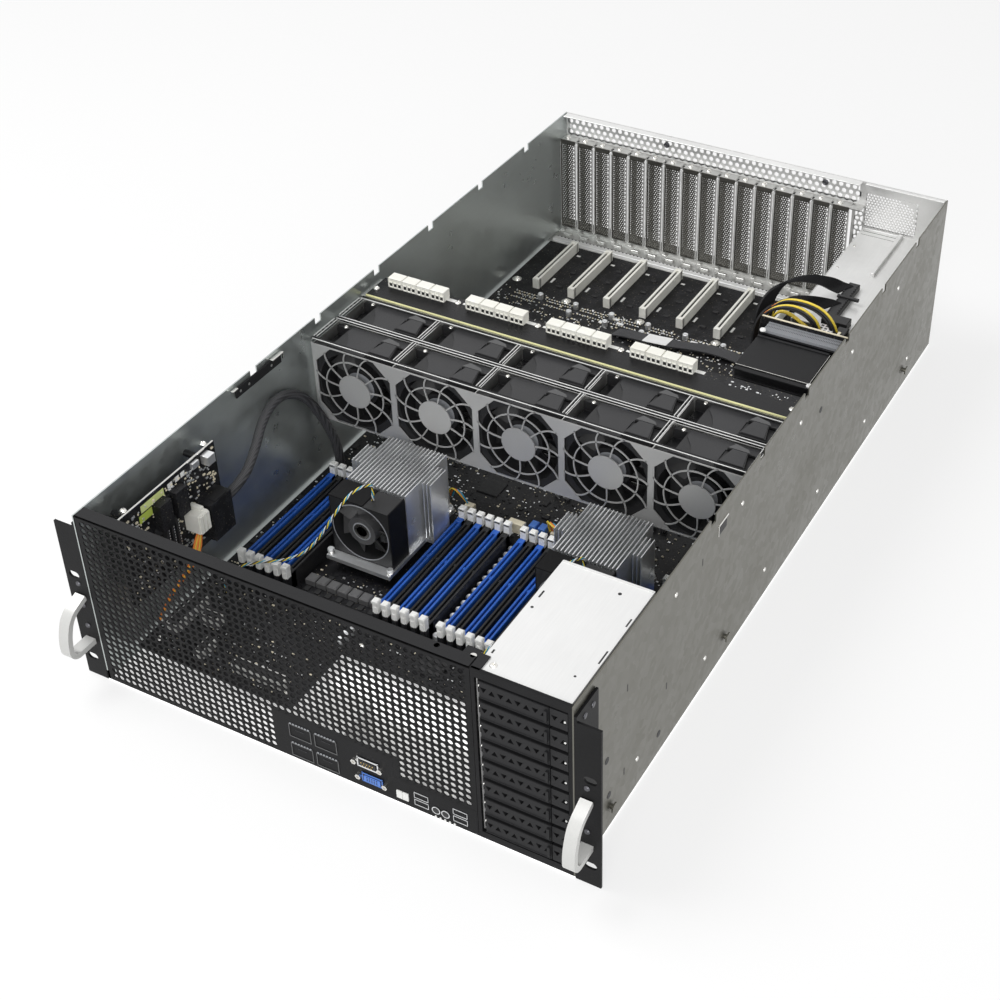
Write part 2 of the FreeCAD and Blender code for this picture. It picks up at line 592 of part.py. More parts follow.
# Inside the front half: side board, main board, memory, coolers

def side_board():
    x = "(-body_width / 2 + side_board_offset)"
    pieces = [
        block("side_sheet", (x, f"{x} + board_thickness"),
              ("side_board_front", "side_board_front + side_board_length"),
              ("side_board_low", "side_board_high")),
        block("side_plug", (f"{x} + board_thickness", f"{x} + board_thickness + side_plug_depth"),
              ("side_plug_front", "side_plug_front + side_plug_length"),
              ("side_plug_low", "side_plug_high")),
    ]
    for index, y in enumerate((40, 130)):
        for level, z in enumerate(("side_board_low + 8", "side_board_high - 8")):
            pieces.append(rod(f"side_post_{index}_{level}", "standoff_radius", "side_board_offset - steel",
                              "-body_width / 2 + steel", y, z, "x"))
    for index, y in enumerate((64, 84)):
        pieces.append(block(f"side_socket_{index}",
                            (f"{x} + board_thickness", f"{x} + board_thickness + 9"),
                            (y, y + 14), ("side_board_high - 36", "side_board_high - 10")))
    node(fuse("SideBoard", pieces), "side_board")


def main_board():
    top = "main_board_rise + board_thickness"
    edge = "body_width / 2 - steel - board_margin"
    pieces = [block("main_sheet", (f"-({edge})", edge), ("main_board_front", "main_board_rear"),
                    ("main_board_rise", top))]
    # behind the connectors the board starts further back, and further back again behind the drive cage
    notches = [
        block("port_notch", ("main_notch_left", "body_width"), (0, "main_notch_depth"), (0, "body_height")),
        block("cage_notch", (f"{BAY_MIDDLE} - bay_width / 2 - 2", "body_width"),
              (0, "bezel_thickness + cage_depth + 2"),
              (0, "body_height")),
    ]
    for index, x in enumerate(("cpu_left", "cpu_right")):
        pieces.append(block(f"cpu_socket_{index}", (f"{x} - socket_width / 2", f"{x} + socket_width / 2"),
                            ("cpu_row - socket_length / 2", "cpu_row + socket_length / 2"),
                            (top, f"{top} + socket_height")))
    node(cut("MainBoard", fuse("main_fused", pieces), [fuse("main_notches", notches)]), "main_board")


def memory():
    """Four banks of six sockets, and the latches at both ends of every socket."""
    top = "(main_board_rise + board_thickness)"
    sockets = []
    latches = {-1: [], 1: []}
    for bank, (cpu, side) in enumerate(MEMORY_BANKS):
        for index in range(SLOTS_PER_BANK):
            middle = f"({cpu} + {side} * memory_offset + ({index} - 2.5) * memory_pitch)"
            name = f"{bank}_{index}"
            housing = block(f"memory_housing_{name}",
                            (f"{middle} - memory_width / 2", f"{middle} + memory_width / 2"),
                            ("memory_row - memory_length / 2", "memory_row + memory_length / 2"),
                            (top, f"{top} + memory_height"))
            groove = block(f"memory_groove_{name}",
                           (f"{middle} - memory_groove / 2", f"{middle} + memory_groove / 2"),
                           ("memory_row - memory_length / 2 + 2", "memory_row + memory_length / 2 - 2"),
                           (f"{top} + memory_height - memory_groove_depth", f"{top} + memory_height + 1"))
            sockets.append(cut(f"memory_socket_{name}", housing, [groove]))
            for end in (-1, 1):
                near = f"(memory_row + {end} * (memory_length / 2 + seat_gap))"
                along = (near, f"{near} + latch_depth") if end > 0 else (f"{near} - latch_depth", near)
                pivot = f"{top} + latch_rise + latch_depth / 2"
                finger = block(f"latch_finger_{name}_{end + 1}",
                               (f"{middle} - latch_width / 2", f"{middle} + latch_width / 2"),
                               along, (pivot, f"{top} + latch_rise + latch_height"))
                foot = rod(f"latch_foot_{name}_{end + 1}", "latch_depth / 2", "latch_width",
                           f"{middle} - latch_width / 2",
                           f"{near} + {end} * latch_depth / 2", pivot, "x")
                latches[end].append(fuse(f"latch_{name}_{end + 1}", [finger, foot]))
    node(compound("MemorySockets", sockets), "memory_sockets")
    node(compound("FrontLatches", latches[-1]), "memory_latches_front")
    node(compound("RearLatches", latches[1]), "memory_latches_rear")


def coolers():
    """Finned cooler over each processor: cross-shaped base, tall fins, a fan in a bracket at its front."""
    bottom = "(main_board_rise + board_thickness + socket_height)"
    sinks, brackets, frames = [], [], []
    for index, cpu in enumerate(("cpu_left", "cpu_right")):
        fins_half = f"({(MAIN_FINS - 1) / 2} * fin_pitch + fin_thickness / 2)"
        wing = f"({(MAIN_FINS - 1) / 2 + FLANK_FINS} * fin_pitch + fin_thickness / 2)"
        base_top = f"{bottom} + sink_base"
        front_edge = "cpu_row - sink_length / 2"
        pieces = [
            block(f"sink_plate_{index}", (f"{cpu} - sink_width / 2", f"{cpu} + sink_width / 2"),
                  (front_edge, "cpu_row + sink_length / 2"), (bottom, base_top)),
            block(f"sink_wing_{index}", (f"{cpu} - {wing}", f"{cpu} + {wing}"),
                  ("flank_front", "flank_rear"),
                  (bottom, base_top)),
        ]
        for fin in range(-(MAIN_FINS // 2) - FLANK_FINS, MAIN_FINS // 2 + FLANK_FINS + 1):
            middle = f"({cpu} + {fin} * fin_pitch)"
            flank = abs(fin) > MAIN_FINS // 2
            along = ("flank_front", "flank_rear") if flank else ("fin_front", "fin_rear")
            pieces.append(block(f"fin_{index}_{fin + 50}",
                                (f"{middle} - fin_thickness / 2", f"{middle} + fin_thickness / 2"),
                                along, (bottom, "sink_top")))
        sinks.append(fuse(f"sink_{index}", pieces))
        half = "(cooler_fan / 2)"
        low = f"({base_top} + bracket_steel)"
        fan_y = ("cooler_fan_front", "cooler_fan_front + cooler_fan_depth")
        outer = block(f"bracket_outer_{index}",
                      (f"{cpu} - {half} - bracket_steel", f"{cpu} + {half} + bracket_steel"),
                      fan_y, (base_top, f"{low} + cooler_fan + bracket_steel"))
        inner = block(f"bracket_inner_{index}", (f"{cpu} - {half}", f"{cpu} + {half}"),
                      ("fan_front / 2", "fan_front"),
                      (low, f"{low} + cooler_fan"))
        open_top = block(f"bracket_open_{index}", (f"{cpu} + 4", f"{cpu} + {half}"),
                         ("fan_front / 2", "fan_front"),
                         (f"{low} + 10", "body_height"))
        brackets.append(cut(f"bracket_{index}", outer, [fuse(f"bracket_clear_{index}", [inner, open_top])]))
        frames.append(fan_frame(f"cooler_frame_{index}", cpu, "cooler_fan_front", f"{low} + cooler_fan / 2",
                                "cooler_fan", "cooler_fan_depth", COOLER_FAN))
        rotor = fan_rotor(f"CoolerRotor{index}", cpu, "cooler_fan_front", f"{low} + cooler_fan / 2",
                          "cooler_fan_depth", COOLER_FAN)
        node(rotor, f"cooler_rotor_{index + 1}")
    node(compound("CoolerSinks", sinks), "cooler_sinks")
    node(compound("CoolerBrackets", brackets), "cooler_brackets")
    node(compound("CoolerFrames", frames), "cooler_fan_frames")


# The fan wall

WALL_FAN = 1
COOLER_FAN = 0.74


def fan_frame(name, x, y, z, width, depth, scale):
    """Square frame with a round bore and a motor plate on crossed struts at its rear."""
    shell = block(f"{name}_shell", (f"({x}) - {width} / 2", f"({x}) + {width} / 2"),
                  (y, f"({y}) + {depth}"),
                  (f"({z}) - {width} / 2", f"({z}) + {width} / 2"))
    bore = rod(f"{name}_bore", f"bore_radius * {scale}", f"{depth} + 2", x, f"({y}) - 1", z, "y")
    pieces = [cut(f"{name}_open", shell, [bore])]
    rear = f"({y}) + {depth} - motor_depth"
    pieces.append(rod(f"{name}_motor", f"motor_radius * {scale}", "motor_depth", x, rear, z, "y"))
    reach = f"bore_radius * {scale} + 0.5"
    along = (rear, f"({y}) + {depth}")
    pieces.append(block(f"{name}_strut_x", (f"({x}) - {reach}", f"({x}) + {reach}"), along,
                        (f"({z}) - strut_width / 2", f"({z}) + strut_width / 2")))
    pieces.append(block(f"{name}_strut_z", (f"({x}) - strut_width / 2", f"({x}) + strut_width / 2"), along,
                        (f"({z}) - {reach}", f"({z}) + {reach}")))
    return fuse(name, pieces)


def fan_rotor(name, x, y, z, depth, scale):
    """Cup-shaped hub with twisted blades, steep at the hub and flatter at the tip."""
    body = new_body(name)
    thickness = f"rotor_depth * {scale}"
    sketch = body.newObject("Sketcher::SketchObject", f"{name}_hub_sketch")
    sketch.AttachmentSupport = (origin_feature(body, "XZ_Plane"), [""])
    sketch.MapMode = "FlatFace"
    sketch.addGeometry(Part.Circle(FreeCAD.Vector(), FreeCAD.Vector(0, 0, 1), 10), False)
    sketch.addConstraint(Sketcher.Constraint("Coincident", 0, 3, -1, 1))
    index = sketch.addConstraint(Sketcher.Constraint("Radius", 0, 10.0))
    sketch.setExpression(f"Constraints[{index}]", ex(f"hub_radius * {scale}"))
    pad(body, f"{name}_hub", sketch, thickness)
    sections = []
    for end, radius, pitch, chord in (("root", f"hub_radius * {scale} - 1", 48, 0.62),
                                      ("tip", None, 30, 0.86)):
        radius = radius or f"(bore_radius - blade_gap) * {scale} * 0.95"
        run = f"{thickness} * {chord / 2 * math.cos(math.radians(pitch)) * 1.3:.4f}"
        rise = f"{thickness} * {chord / 2 * math.sin(math.radians(pitch)):.4f}"
        half = "0.7"
        points = [(f"-({run})", f"-{thickness} / 2 - ({rise}) - {half}"),
                  (run, f"-{thickness} / 2 + ({rise}) - {half}"),
                  (run, f"-{thickness} / 2 + ({rise}) + {half}"),
                  (f"-({run})", f"-{thickness} / 2 - ({rise}) + {half}")]
        sections.append(outline(body, f"{name}_{end}", "XY_Plane", points, radius))
    blade = body.newObject("PartDesign::AdditiveLoft", f"{name}_blade")
    blade.Profile = sections[0]
    blade.Sections = [sections[1]]
    blade.Ruled = True
    ring = body.newObject("PartDesign::PolarPattern", f"{name}_blades")
    ring.Originals = [blade]
    ring.Axis = (origin_feature(body, "Y_Axis"), [""])
    ring.Angle = 360
    ring.Occurrences = FAN_BLADES
    body.Tip = ring
    return place(body, x, front(f"({y}) + {depth} - motor_depth - spin_gap"), z)


def fan_bar(name, x, z, radius, angle, heading, length):
    """A flat guard wire that starts at a radius and an angle round the fan's centre and runs along a heading."""
    bar = doc.addObject("Part::Box", name)
    bar.Placement = FreeCAD.Placement(FreeCAD.Vector(), FreeCAD.Rotation(FreeCAD.Vector(0, 1, 0), -heading))
    bar.setExpression("Length", ex(length))
    bar.setExpression("Width", ex("fan_wall_steel"))
    bar.setExpression("Height", ex("guard_wire"))
    a, d = f"({angle} deg)", f"({heading} deg)"
    return place(bar, f"{x} + ({radius}) * cos{a} + guard_wire / 2 * sin{d}",
                 front("fan_front - fan_wall_steel"),
                 f"{z} + ({radius}) * sin{a} - guard_wire / 2 * cos{d}")


def fan_guard():
    """One sheet across the case: five openings with cut corners, each with a hub plate, a ring and wires."""
    inner = "body_width / 2 - steel - seat_gap"
    z = "(fan_floor + fan_wall_steel + fan_size / 2)"
    sheet_y = ("fan_front - fan_wall_steel", "fan_front")
    face = block("guard_sheet", (f"-({inner})", inner), sheet_y,
                 ("fan_floor", "fan_floor + fan_wall_steel + fan_size + guard_top"))
    openings, grids = [], []
    for index in range(FANS):
        x = fan_x(index)
        opening = new_body(f"guard_opening_{index}")
        half, corner = "guard_opening / 2", "guard_corner"
        points = []
        for sx, sz in ((1, 1), (-1, 1), (-1, -1), (1, -1)):
            along = (f"{sx} * ({half} - {corner})", f"{sz} * {half}")
            beside = (f"{sx} * {half}", f"{sz} * ({half} - {corner})")
            points += [beside, along] if sx * sz > 0 else [along, beside]
        sketch = outline(opening, f"guard_octagon_{index}", "XZ_Plane", points)
        pad(opening, f"guard_prism_{index}", sketch, "3 * fan_wall_steel")
        openings.append(place(opening, x, front("fan_front + fan_wall_steel"), z))
        hub = rod(f"guard_hub_{index}", "hub_guard_radius", "fan_wall_steel", x, sheet_y[0], z, "y")
        ring_out = rod(f"ring_out_{index}", "ring_guard_radius + guard_wire / 2", "fan_wall_steel", x,
                       sheet_y[0], z, "y")
        ring_in = rod(f"ring_in_{index}", "ring_guard_radius - guard_wire / 2", "3 * fan_wall_steel", x,
                      "fan_front - 2 * fan_wall_steel", z, "y")
        grids += [hub, cut(f"guard_ring_{index}", ring_out, [ring_in])]
        for spoke in range(SPOKES):
            angle = 360 / SPOKES * spoke
            grids.append(fan_bar(f"wire_in_{index}_{spoke}", x, z, "hub_guard_radius - 1", angle, angle,
                                 "ring_guard_radius - hub_guard_radius + 1"))
            grids.append(fan_bar(f"wire_out_{index}_{spoke}", x, z, "ring_guard_radius - 0.4", angle + 15,
                                 angle + 35, "guard_opening / 2 - ring_guard_radius + 4.3"))
    node(fuse("FanGuard", [cut("guard_frame", face, openings)] + grids), "fan_guard")


def fan_x(index):
    return f"(({index} - {(FANS - 1) / 2}) * fan_pitch - 2)"


def fan_wall():
    """Floor, dividers, mid plate and rear plate that hold two rows of fans above the main board."""
    inner = "body_width / 2 - steel"
    floor_top = "fan_floor + fan_wall_steel"
    top = f"{floor_top} + fan_size + seat_gap"
    mid = "fan_front + fan_depth + fan_row_gap / 2"
    rear = "fan_front + 2 * fan_depth + fan_row_gap"
    flange = "power_board_top - board_thickness"
    pieces = [
        block("wall_floor", (f"-({inner})", inner), ("fan_front", f"{rear} + fan_wall_steel"),
              ("fan_floor", floor_top)),
        block("wall_flange", (f"-({inner})", inner), (rear, f"{rear} + power_board_depth"),
              (f"{flange} - fan_wall_steel", flange)),
    ]
    for index in range(FANS + 1):
        x = f"({fan_x(0)} + ({index} - 0.5) * fan_pitch)"
        pieces.append(block(f"divider_{index}", (f"{x} - fan_wall_steel / 2", f"{x} + fan_wall_steel / 2"),
                            ("fan_front", f"{rear} + fan_wall_steel"), ("fan_floor", top)))
    for label, y, height in (("mid", f"{mid} - fan_wall_steel / 2", top), ("rear", rear, flange)):
        sheet_plate = block(f"{label}_sheet", (f"-({inner})", inner), (y, f"{y} + fan_wall_steel"),
                            ("fan_floor", height))
        holes = [block(f"{label}_hole_{index}",
                       (f"{fan_x(index)} - guard_opening / 2", f"{fan_x(index)} + guard_opening / 2"),
                       (f"{y} - 1", f"{y} + 2"), (f"{floor_top} + 2", f"{floor_top} + fan_size - 2"))
                 for index in range(FANS)]
        pieces.append(cut(f"{label}_plate", sheet_plate, holes))
    node(fuse("FanWall", pieces), "fan_wall")


def latch_wedge(name, x, y, top):
    """Raised latch on a fan frame, narrower at its rear."""
    body = new_body(name)
    points = [("0", "0"), ("clip_width", "0"), ("clip_width - clip_taper", "clip_depth"),
              ("clip_taper", "clip_depth")]
    pad(body, f"{name}_pad", outline(body, f"{name}_outline", "XY_Plane", points), "clip_height + 0.5")
    return place(body, f"{x} + clip_left", front(f"{y} + clip_front"), f"{top} - 0.5")


def wall_fans():
    z = "(fan_floor + fan_wall_steel + fan_size / 2)"
    rows = ("fan_front", "fan_front + fan_depth + fan_row_gap")
    frames = []
    for index in range(FANS):
        x = fan_x(index)
        rotors = []
        for row, y in enumerate(rows):
            top = f"{z} + fan_size / 2"
            frame = fan_frame(f"fan_frame_{index}_{row}", x, y, z, "fan_size", "fan_depth", WALL_FAN)
            well = block(f"fan_well_{index}_{row}",
                         (f"{x} - fan_size / 2 - 1", f"{x} - fan_size / 2 + well_width"),
                         (f"{y} + frame_flange", f"{y} + fan_depth - frame_flange"),
                         (f"{top} - well_depth", f"{top} + 1"))
            frame = cut(f"fan_welled_{index}_{row}", frame, [well])
            clip = latch_wedge(f"fan_clip_{index}_{row}", x, y, top)
            frames.append(fuse(f"fan_frame_clip_{index}_{row}", [frame, clip]))
            rotors.append(fan_rotor(f"fan_rotor_{index}_{row}", x, y, z, "fan_depth", WALL_FAN))
        node(compound(f"FanRotors{index}", rotors), f"fan_rotors_{index + 1}")
    node(compound("FanFrames", frames), "fan_frames")


# Behind the fans: power board, card board, power supplies

def power_board():
    edge = "body_width / 2 - steel - board_margin"
    start = "fan_front + 2 * fan_depth + fan_row_gap + 2 * fan_wall_steel"
    board = block("PowerBoard", (f"-({edge})", edge), (start, f"{start} + power_board_depth"),
                  ("power_board_top - board_thickness", "power_board_top"))
    node(board, "power_board")
    plugs = []
    for index in range(PLUG_GROUPS * PLUGS_PER_GROUP):
        bank, place_in_bank = divmod(index, PLUGS_PER_GROUP)
        middle = f"(plug_group_first + {bank} * plug_group_pitch + ({place_in_bank} - 1.5) * plug_pitch)"
        near = f"({start} + plug_setback)"
        body = block(f"plug_block_{index}", (f"{middle} - plug_width / 2", f"{middle} + plug_width / 2"),
                     (near, f"{near} + plug_depth"), ("power_board_top", "power_board_top + plug_height"))
        mouth = block(f"plug_mouth_{index}",
                      (f"{middle} - plug_width / 2 + 1", f"{middle} + plug_width / 2 - 1"),
                      (f"{near} + plug_depth - 6", f"{near} + plug_depth + 1"),
                      ("power_board_top + 1", "power_board_top + plug_height - 1"))
        plugs.append(cut(f"plug_{index}", body, [mouth]))
    node(compound("PowerPlugs", plugs), "power_plugs")


def card_board():
    """Board for eight cards; it is wider ahead of the power supplies than beside them."""
    body = new_body("CardBoard")
    left = "-(body_width / 2 - steel - board_margin)"
    right = "body_width / 2 - steel - board_margin"
    points = [(left, front("card_board_front")), (right, front("card_board_front")),
              (right, front("card_board_step")),
              ("card_board_right", front("card_board_step")),
              ("card_board_right", front("card_board_rear")),
              (left, front("card_board_rear"))]
    pad(body, "card_board_pad", outline(body, "card_board_outline", "XY_Plane", points), "board_thickness")
    node(place(body, "0", "0", "card_board_top - board_thickness"), "card_board")
    slots = []
    for index in range(CARD_SLOTS):
        middle = f"(card_slot_first + {index} * card_pitch)"
        rear = "card_slot_front + card_slot_length"
        housing = block(f"slot_housing_{index}",
                        (f"{middle} - card_slot_width / 2", f"{middle} + card_slot_width / 2"),
                        ("card_slot_front", rear), ("card_board_top", "card_board_top + card_slot_height"))
        groove = block(f"slot_groove_{index}",
                       (f"{middle} - card_groove / 2", f"{middle} + card_groove / 2"),
                       ("card_slot_front + 3", f"{rear} - 3"),
                       ("card_board_top + card_slot_height - card_groove_depth",
                        "card_board_top + card_slot_height + 1"))
        slots.append(cut(f"card_slot_{index}", housing, [groove]))
    node(compound("CardSlots", slots), "card_slots")


def power_section():
    """Cage for three supplies on top of each other, their back board with a ribbed bar, and the supply block."""
    right = "(body_width / 2 - steel - seat_gap)"
    outer = block("supply_outer", ("supply_left", right), ("supply_front", "body_depth - steel"),
                  ("steel", "supply_height"))
    inner = block("supply_inner", ("supply_left + supply_wall", f"{right} - supply_wall"),
                  ("supply_front - 1", "body_depth"),
                  ("steel + supply_wall", "supply_height - supply_wall"))
    node(cut("SupplyCage", outer, [inner]), "supply_cage")
    units = []
    for index in range(SUPPLY_UNITS):
        low = f"(steel + supply_wall + {index} * supply_unit_pitch)"
        across = ("supply_left + supply_wall + seat_gap", f"{right} - supply_wall - seat_gap")
        body = block(f"unit_body_{index}", across, ("body_depth - supply_unit_depth", "body_depth"),
                     (low, f"{low} + supply_unit_height"))
        inlet = block(f"unit_inlet_{index}", ("supply_left + 8", "supply_left + 36"),
                      ("body_depth - supply_recess", "body_depth + 1"), (f"{low} + 8", f"{low} + 29"))
        grip = block(f"unit_grip_{index}", ("supply_left + 42", "supply_left + 76"),
                     ("body_depth - supply_recess", "body_depth + 1"), (f"{low} + 4", f"{low} + 34"))
        bar = block(f"unit_bar_{index}", ("supply_left + 56", "supply_left + 62"),
                    ("body_depth - 5", "body_depth - 1"), (f"{low} + 3", f"{low} + 35"))
        units.append(fuse(f"unit_{index}", [cut(f"unit_cut_{index}", body, [inlet, grip]), bar]))
    node(compound("SupplyUnits", units), "supply_units")
    edge = "body_width / 2 - steel - board_margin"
    socket_low = "supply_board_top - 54"
    socket = block("SupplySocket", ("supply_board_left + 24", "supply_board_left + 74"),
                   ("supply_board_front + board_thickness",
                    "supply_board_front + board_thickness + socket_depth"),
                   (socket_low, f"{socket_low} + socket_rise"))
    node(socket, "supply_socket")
    board = block("SupplyBoard", ("supply_board_left", edge),
                  ("supply_board_front", "supply_board_front + board_thickness"),
                  ("card_board_top", "supply_board_top"))
    node(board, "supply_board")
    bar_low = "rib_bar_top - rib_bar_height"
    bar = block("rib_bar_body", ("supply_board_left + 8", f"{edge} - 6"),
                ("supply_board_front - rib_bar_depth", "supply_board_front"),
                (bar_low, "rib_bar_top"))
    grooves = [block(f"rib_groove_{index}", ("supply_board_left + 7", "body_width / 2"),
                     (f"supply_board_front - {index + 1} * rib_pitch + 1",
                      f"supply_board_front - {index + 1} * rib_pitch + 3"),
                     ("rib_bar_top - rib_depth", "body_height")) for index in range(2)]
    node(cut("RibBar", bar, grooves), "rib_bar")
    cover = block("SupplyBlock", ("block_left", "block_left + block_width"),
                  ("block_front", "block_front + block_depth"),
                  ("card_board_top", "block_top"))
    node(cover, "supply_block")


# Leads held at both ends inside the case

# routes: y is the distance behind the front plane, or for the power leads ahead of the rear plane,
# and their z is the distance below the top
SIDE_LEAD = ((-192, 138.1, 104), (-192, 164, 104), (-198, 192, 117), (-207, 218, 132), (-212.5, 246, 135),
             (-213, 272, 124), (-212, 290, 104), (-210, 302, 80), (-206, 311, 54), (-203, 314, 32),
             (-203, 314, 12.1))
POWER_LEADS = (
    ((124, -254, -138.9), (124, -254, -26.9), (134.7, -253, -12.2), (152, -250.5, -6.6),
     (169.3, -248, -12.2), (180, -246, -26.9), (180, -246, -46.9)),
    ((124, -239, -138.9), (124, -239, -29.3), (137.8, -239, -10.4), (160, -240, -3.1),
     (182.2, -241, -10.4), (196, -242, -29.3), (196, -242, -46.9)),
)
COOLER_LEADS = (
    ((-90, 210, 89.1), (-90, 209.5, 106), (-97, 192, 108), (-106, 179, 93), (-113, 171, 78),
     (-121, 164, 64),
     (-131, 157, 53), (-146, 147, 47), (-163, 138, 45), (-178, 130, 40), (-189, 123, 29),
     (-191, 121, 12.1)),
    ((115, 210, 89.1), (115, 209.5, 106), (108, 192, 108), (99, 179, 93), (92, 171, 78), (84, 164, 64),
     (76, 156, 53), (69, 144, 47), (62, 133, 38), (59, 128, 26), (59, 128, 12.1)),
)


def moved(points, y, z=0):
    return [(a, b + y, c + z) for a, b, c in points]


def leads():
    half, top = size("body_depth") / 2, size("body_height")
    board = size("card_board_top") + 0.1
    things = [tube("side_lead", moved(SIDE_LEAD, -half), size("sleeve_radius"))]
    for index, points in enumerate(POWER_LEADS):
        (x, y, z), *rest = moved(points, half, top)
        things.append(tube(f"power_lead_{index}", [(x, y, board), *rest], size("power_lead_radius")))
    for index, points in enumerate(COOLER_LEADS):
        things.append(tube(f"cooler_lead_{index}", moved(points, -half), size("lead_radius")))
    node(compound("Leads", things), "leads")


def check_and_write():
    """Every object is up to date and every sub-part is a valid shape; then one file each."""
    doc.recompute()
    failed = [thing.Name for thing in doc.Objects if {"Invalid", "Error"} & set(thing.State)]
    if failed:
        raise SystemExit(f"not built: {failed}")
    os.makedirs("parts", exist_ok=True)
    for thing in nodes:
        if thing.Shape.isNull() or not thing.Shape.isValid():
            raise SystemExit(f"bad shape: {thing.Label}")
        thing.Shape.exportStep(f"parts/{thing.Label}.step")
    print(len(nodes), "sub-parts")


base_pan()
side_wall(-1, "left_wall")
side_wall(1, "right_wall")
rear_panel()
card_rails()
slot_covers()
front_plate()
drive_bezel()
drive_cage()
for tray_index in range(TRAYS):
    drive_tray(tray_index)
rack_ears()
front_connectors()
side_board()
main_board()
memory()
coolers()
fan_guard()
fan_wall()
wall_fans()
power_board()
card_board()
power_section()
leads()
check_and_write()
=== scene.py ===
import math

import bpy
import numpy as np
from mathutils import Matrix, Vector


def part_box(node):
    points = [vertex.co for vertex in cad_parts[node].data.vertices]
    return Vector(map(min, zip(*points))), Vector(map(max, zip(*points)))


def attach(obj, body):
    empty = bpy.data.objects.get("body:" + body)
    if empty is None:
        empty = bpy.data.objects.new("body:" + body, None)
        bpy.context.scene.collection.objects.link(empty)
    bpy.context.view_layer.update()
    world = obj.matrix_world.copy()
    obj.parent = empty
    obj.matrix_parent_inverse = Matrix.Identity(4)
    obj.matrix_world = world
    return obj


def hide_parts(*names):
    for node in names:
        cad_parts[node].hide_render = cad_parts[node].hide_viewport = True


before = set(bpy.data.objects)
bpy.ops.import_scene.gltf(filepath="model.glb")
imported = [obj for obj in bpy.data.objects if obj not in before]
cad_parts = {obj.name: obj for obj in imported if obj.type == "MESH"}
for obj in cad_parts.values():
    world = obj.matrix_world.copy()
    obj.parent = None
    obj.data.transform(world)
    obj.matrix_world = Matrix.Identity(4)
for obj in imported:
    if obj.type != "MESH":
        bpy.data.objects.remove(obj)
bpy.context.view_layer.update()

rng = np.random.default_rng(41)
scene = bpy.context.scene

# %% [markdown]
# The camera stands where the photographer stood: a fit of the case's corners gave its place, its direction
# and its lens. The view is a crop of a larger picture, which is what the lens shift stands for.
# %% Camera
RIGHT, FORWARD = np.array((0.8846, 0.4663, -0.0009)), np.array((-0.3802, 0.7201, -0.5804))
camera = bpy.data.objects.new("camera", bpy.data.cameras.new("camera"))
turn = Matrix([list(row) for row in np.column_stack((RIGHT, np.cross(RIGHT, FORWARD), -FORWARD))]).to_4x4()
camera.matrix_world = Matrix.Translation((0.6092, -1.1102, 1.0027)) @ turn
camera.data.lens, camera.data.sensor_width = 61.0, 36
camera.data.shift_x, camera.data.shift_y = -0.092, -0.0952
scene.collection.objects.link(camera)
scene.camera = camera
print("lens", camera.data.lens)

# %% [markdown]
# A studio has large soft lamps. Two area lamps and an even world light the server at a plain level. Light
# Path lets the camera and every mirror-like surface see a white world, so bright metal has something to show.
# The floor is a pale disc with a glow of its own, which keeps the background white and the shadow soft.
# %% Light and floor
scene.view_settings.view_transform = "Standard"


def lamp(name, at, aim, width, power):
    """An area lamp that looks from one point at another."""
    light = bpy.data.lights.new(name, "AREA")
    light.shape, light.size, light.energy = "DISK", width, power
    thing = bpy.data.objects.new(name, light)
    away = np.array(at, float) - np.array(aim, float)
    away /= np.linalg.norm(away)
    side = np.cross((0, 0, 1), away)
    side /= np.linalg.norm(side)
    axes = np.column_stack((side, np.cross(away, side), away))
    thing.matrix_world = Matrix.Translation(at) @ Matrix([list(row) for row in axes]).to_4x4()
    scene.collection.objects.link(thing)


lamp("key", (-1.3, -0.5, 2.3), (0, 0, 0), 1.5, 40)
lamp("fill", (1.1, -2.1, 1.2), (0, 0, 0.05), 1.8, 34)
world = bpy.data.worlds.new("studio")
scene.world = world
world.use_nodes = True
sky, links = world.node_tree.nodes, world.node_tree.links
plain, white = sky["Background"], sky.new("ShaderNodeBackground")
plain.inputs["Strength"].default_value = 0.42
white.inputs["Color"].default_value = (1, 1, 1, 1)
path, seen, either = sky.new("ShaderNodeLightPath"), sky.new("ShaderNodeMath"), sky.new("ShaderNodeMixShader")
plain.inputs["Color"].default_value = (1, 1, 1, 1)
seen.operation = "MAXIMUM"
shiny = sky.new("ShaderNodeMath")
shiny.operation = "MAXIMUM"
links.new(path.outputs["Is Glossy Ray"], shiny.inputs[0])
links.new(path.outputs["Is Transmission Ray"], shiny.inputs[1])
links.new(path.outputs["Is Camera Ray"], seen.inputs[0])
links.new(shiny.outputs[0], seen.inputs[1])
links.new(seen.outputs[0], either.inputs[0])
links.new(plain.outputs[0], either.inputs[1])
links.new(white.outputs[0], either.inputs[2])
links.new(either.outputs[0], sky["World Output"].inputs["Surface"])
floor_paint = bpy.data.materials.new("floor_paint")
floor_paint.use_nodes = True
paint, joins = floor_paint.node_tree.nodes, floor_paint.node_tree.links
paint["Principled BSDF"].inputs["Base Color"].default_value = (0.92, 0.92, 0.92, 1)
paint["Principled BSDF"].inputs["Roughness"].default_value = 0.8
glow, blend = paint.new("ShaderNodeEmission"), paint.new("ShaderNodeMixShader")
glow.inputs["Color"].default_value = (1, 1, 1, 1)
blend.inputs[0].default_value = 0.72
joins.new(paint["Principled BSDF"].outputs[0], blend.inputs[1])
joins.new(glow.outputs[0], blend.inputs[2])
joins.new(blend.outputs[0], paint["Material Output"].inputs["Surface"])
turns = np.linspace(0, math.tau, 64, endpoint=False)
disc = bpy.data.meshes.new("floor")
disc.from_pydata(np.column_stack((4 * np.cos(turns), 4 * np.sin(turns), np.full(64, -0.0006))).tolist(), [],
                 [list(range(64))])
disc.materials.append(floor_paint)
floor = bpy.data.objects.new("floor", disc)
scene.collection.objects.link(floor)
print("lamps", len(bpy.data.lights))

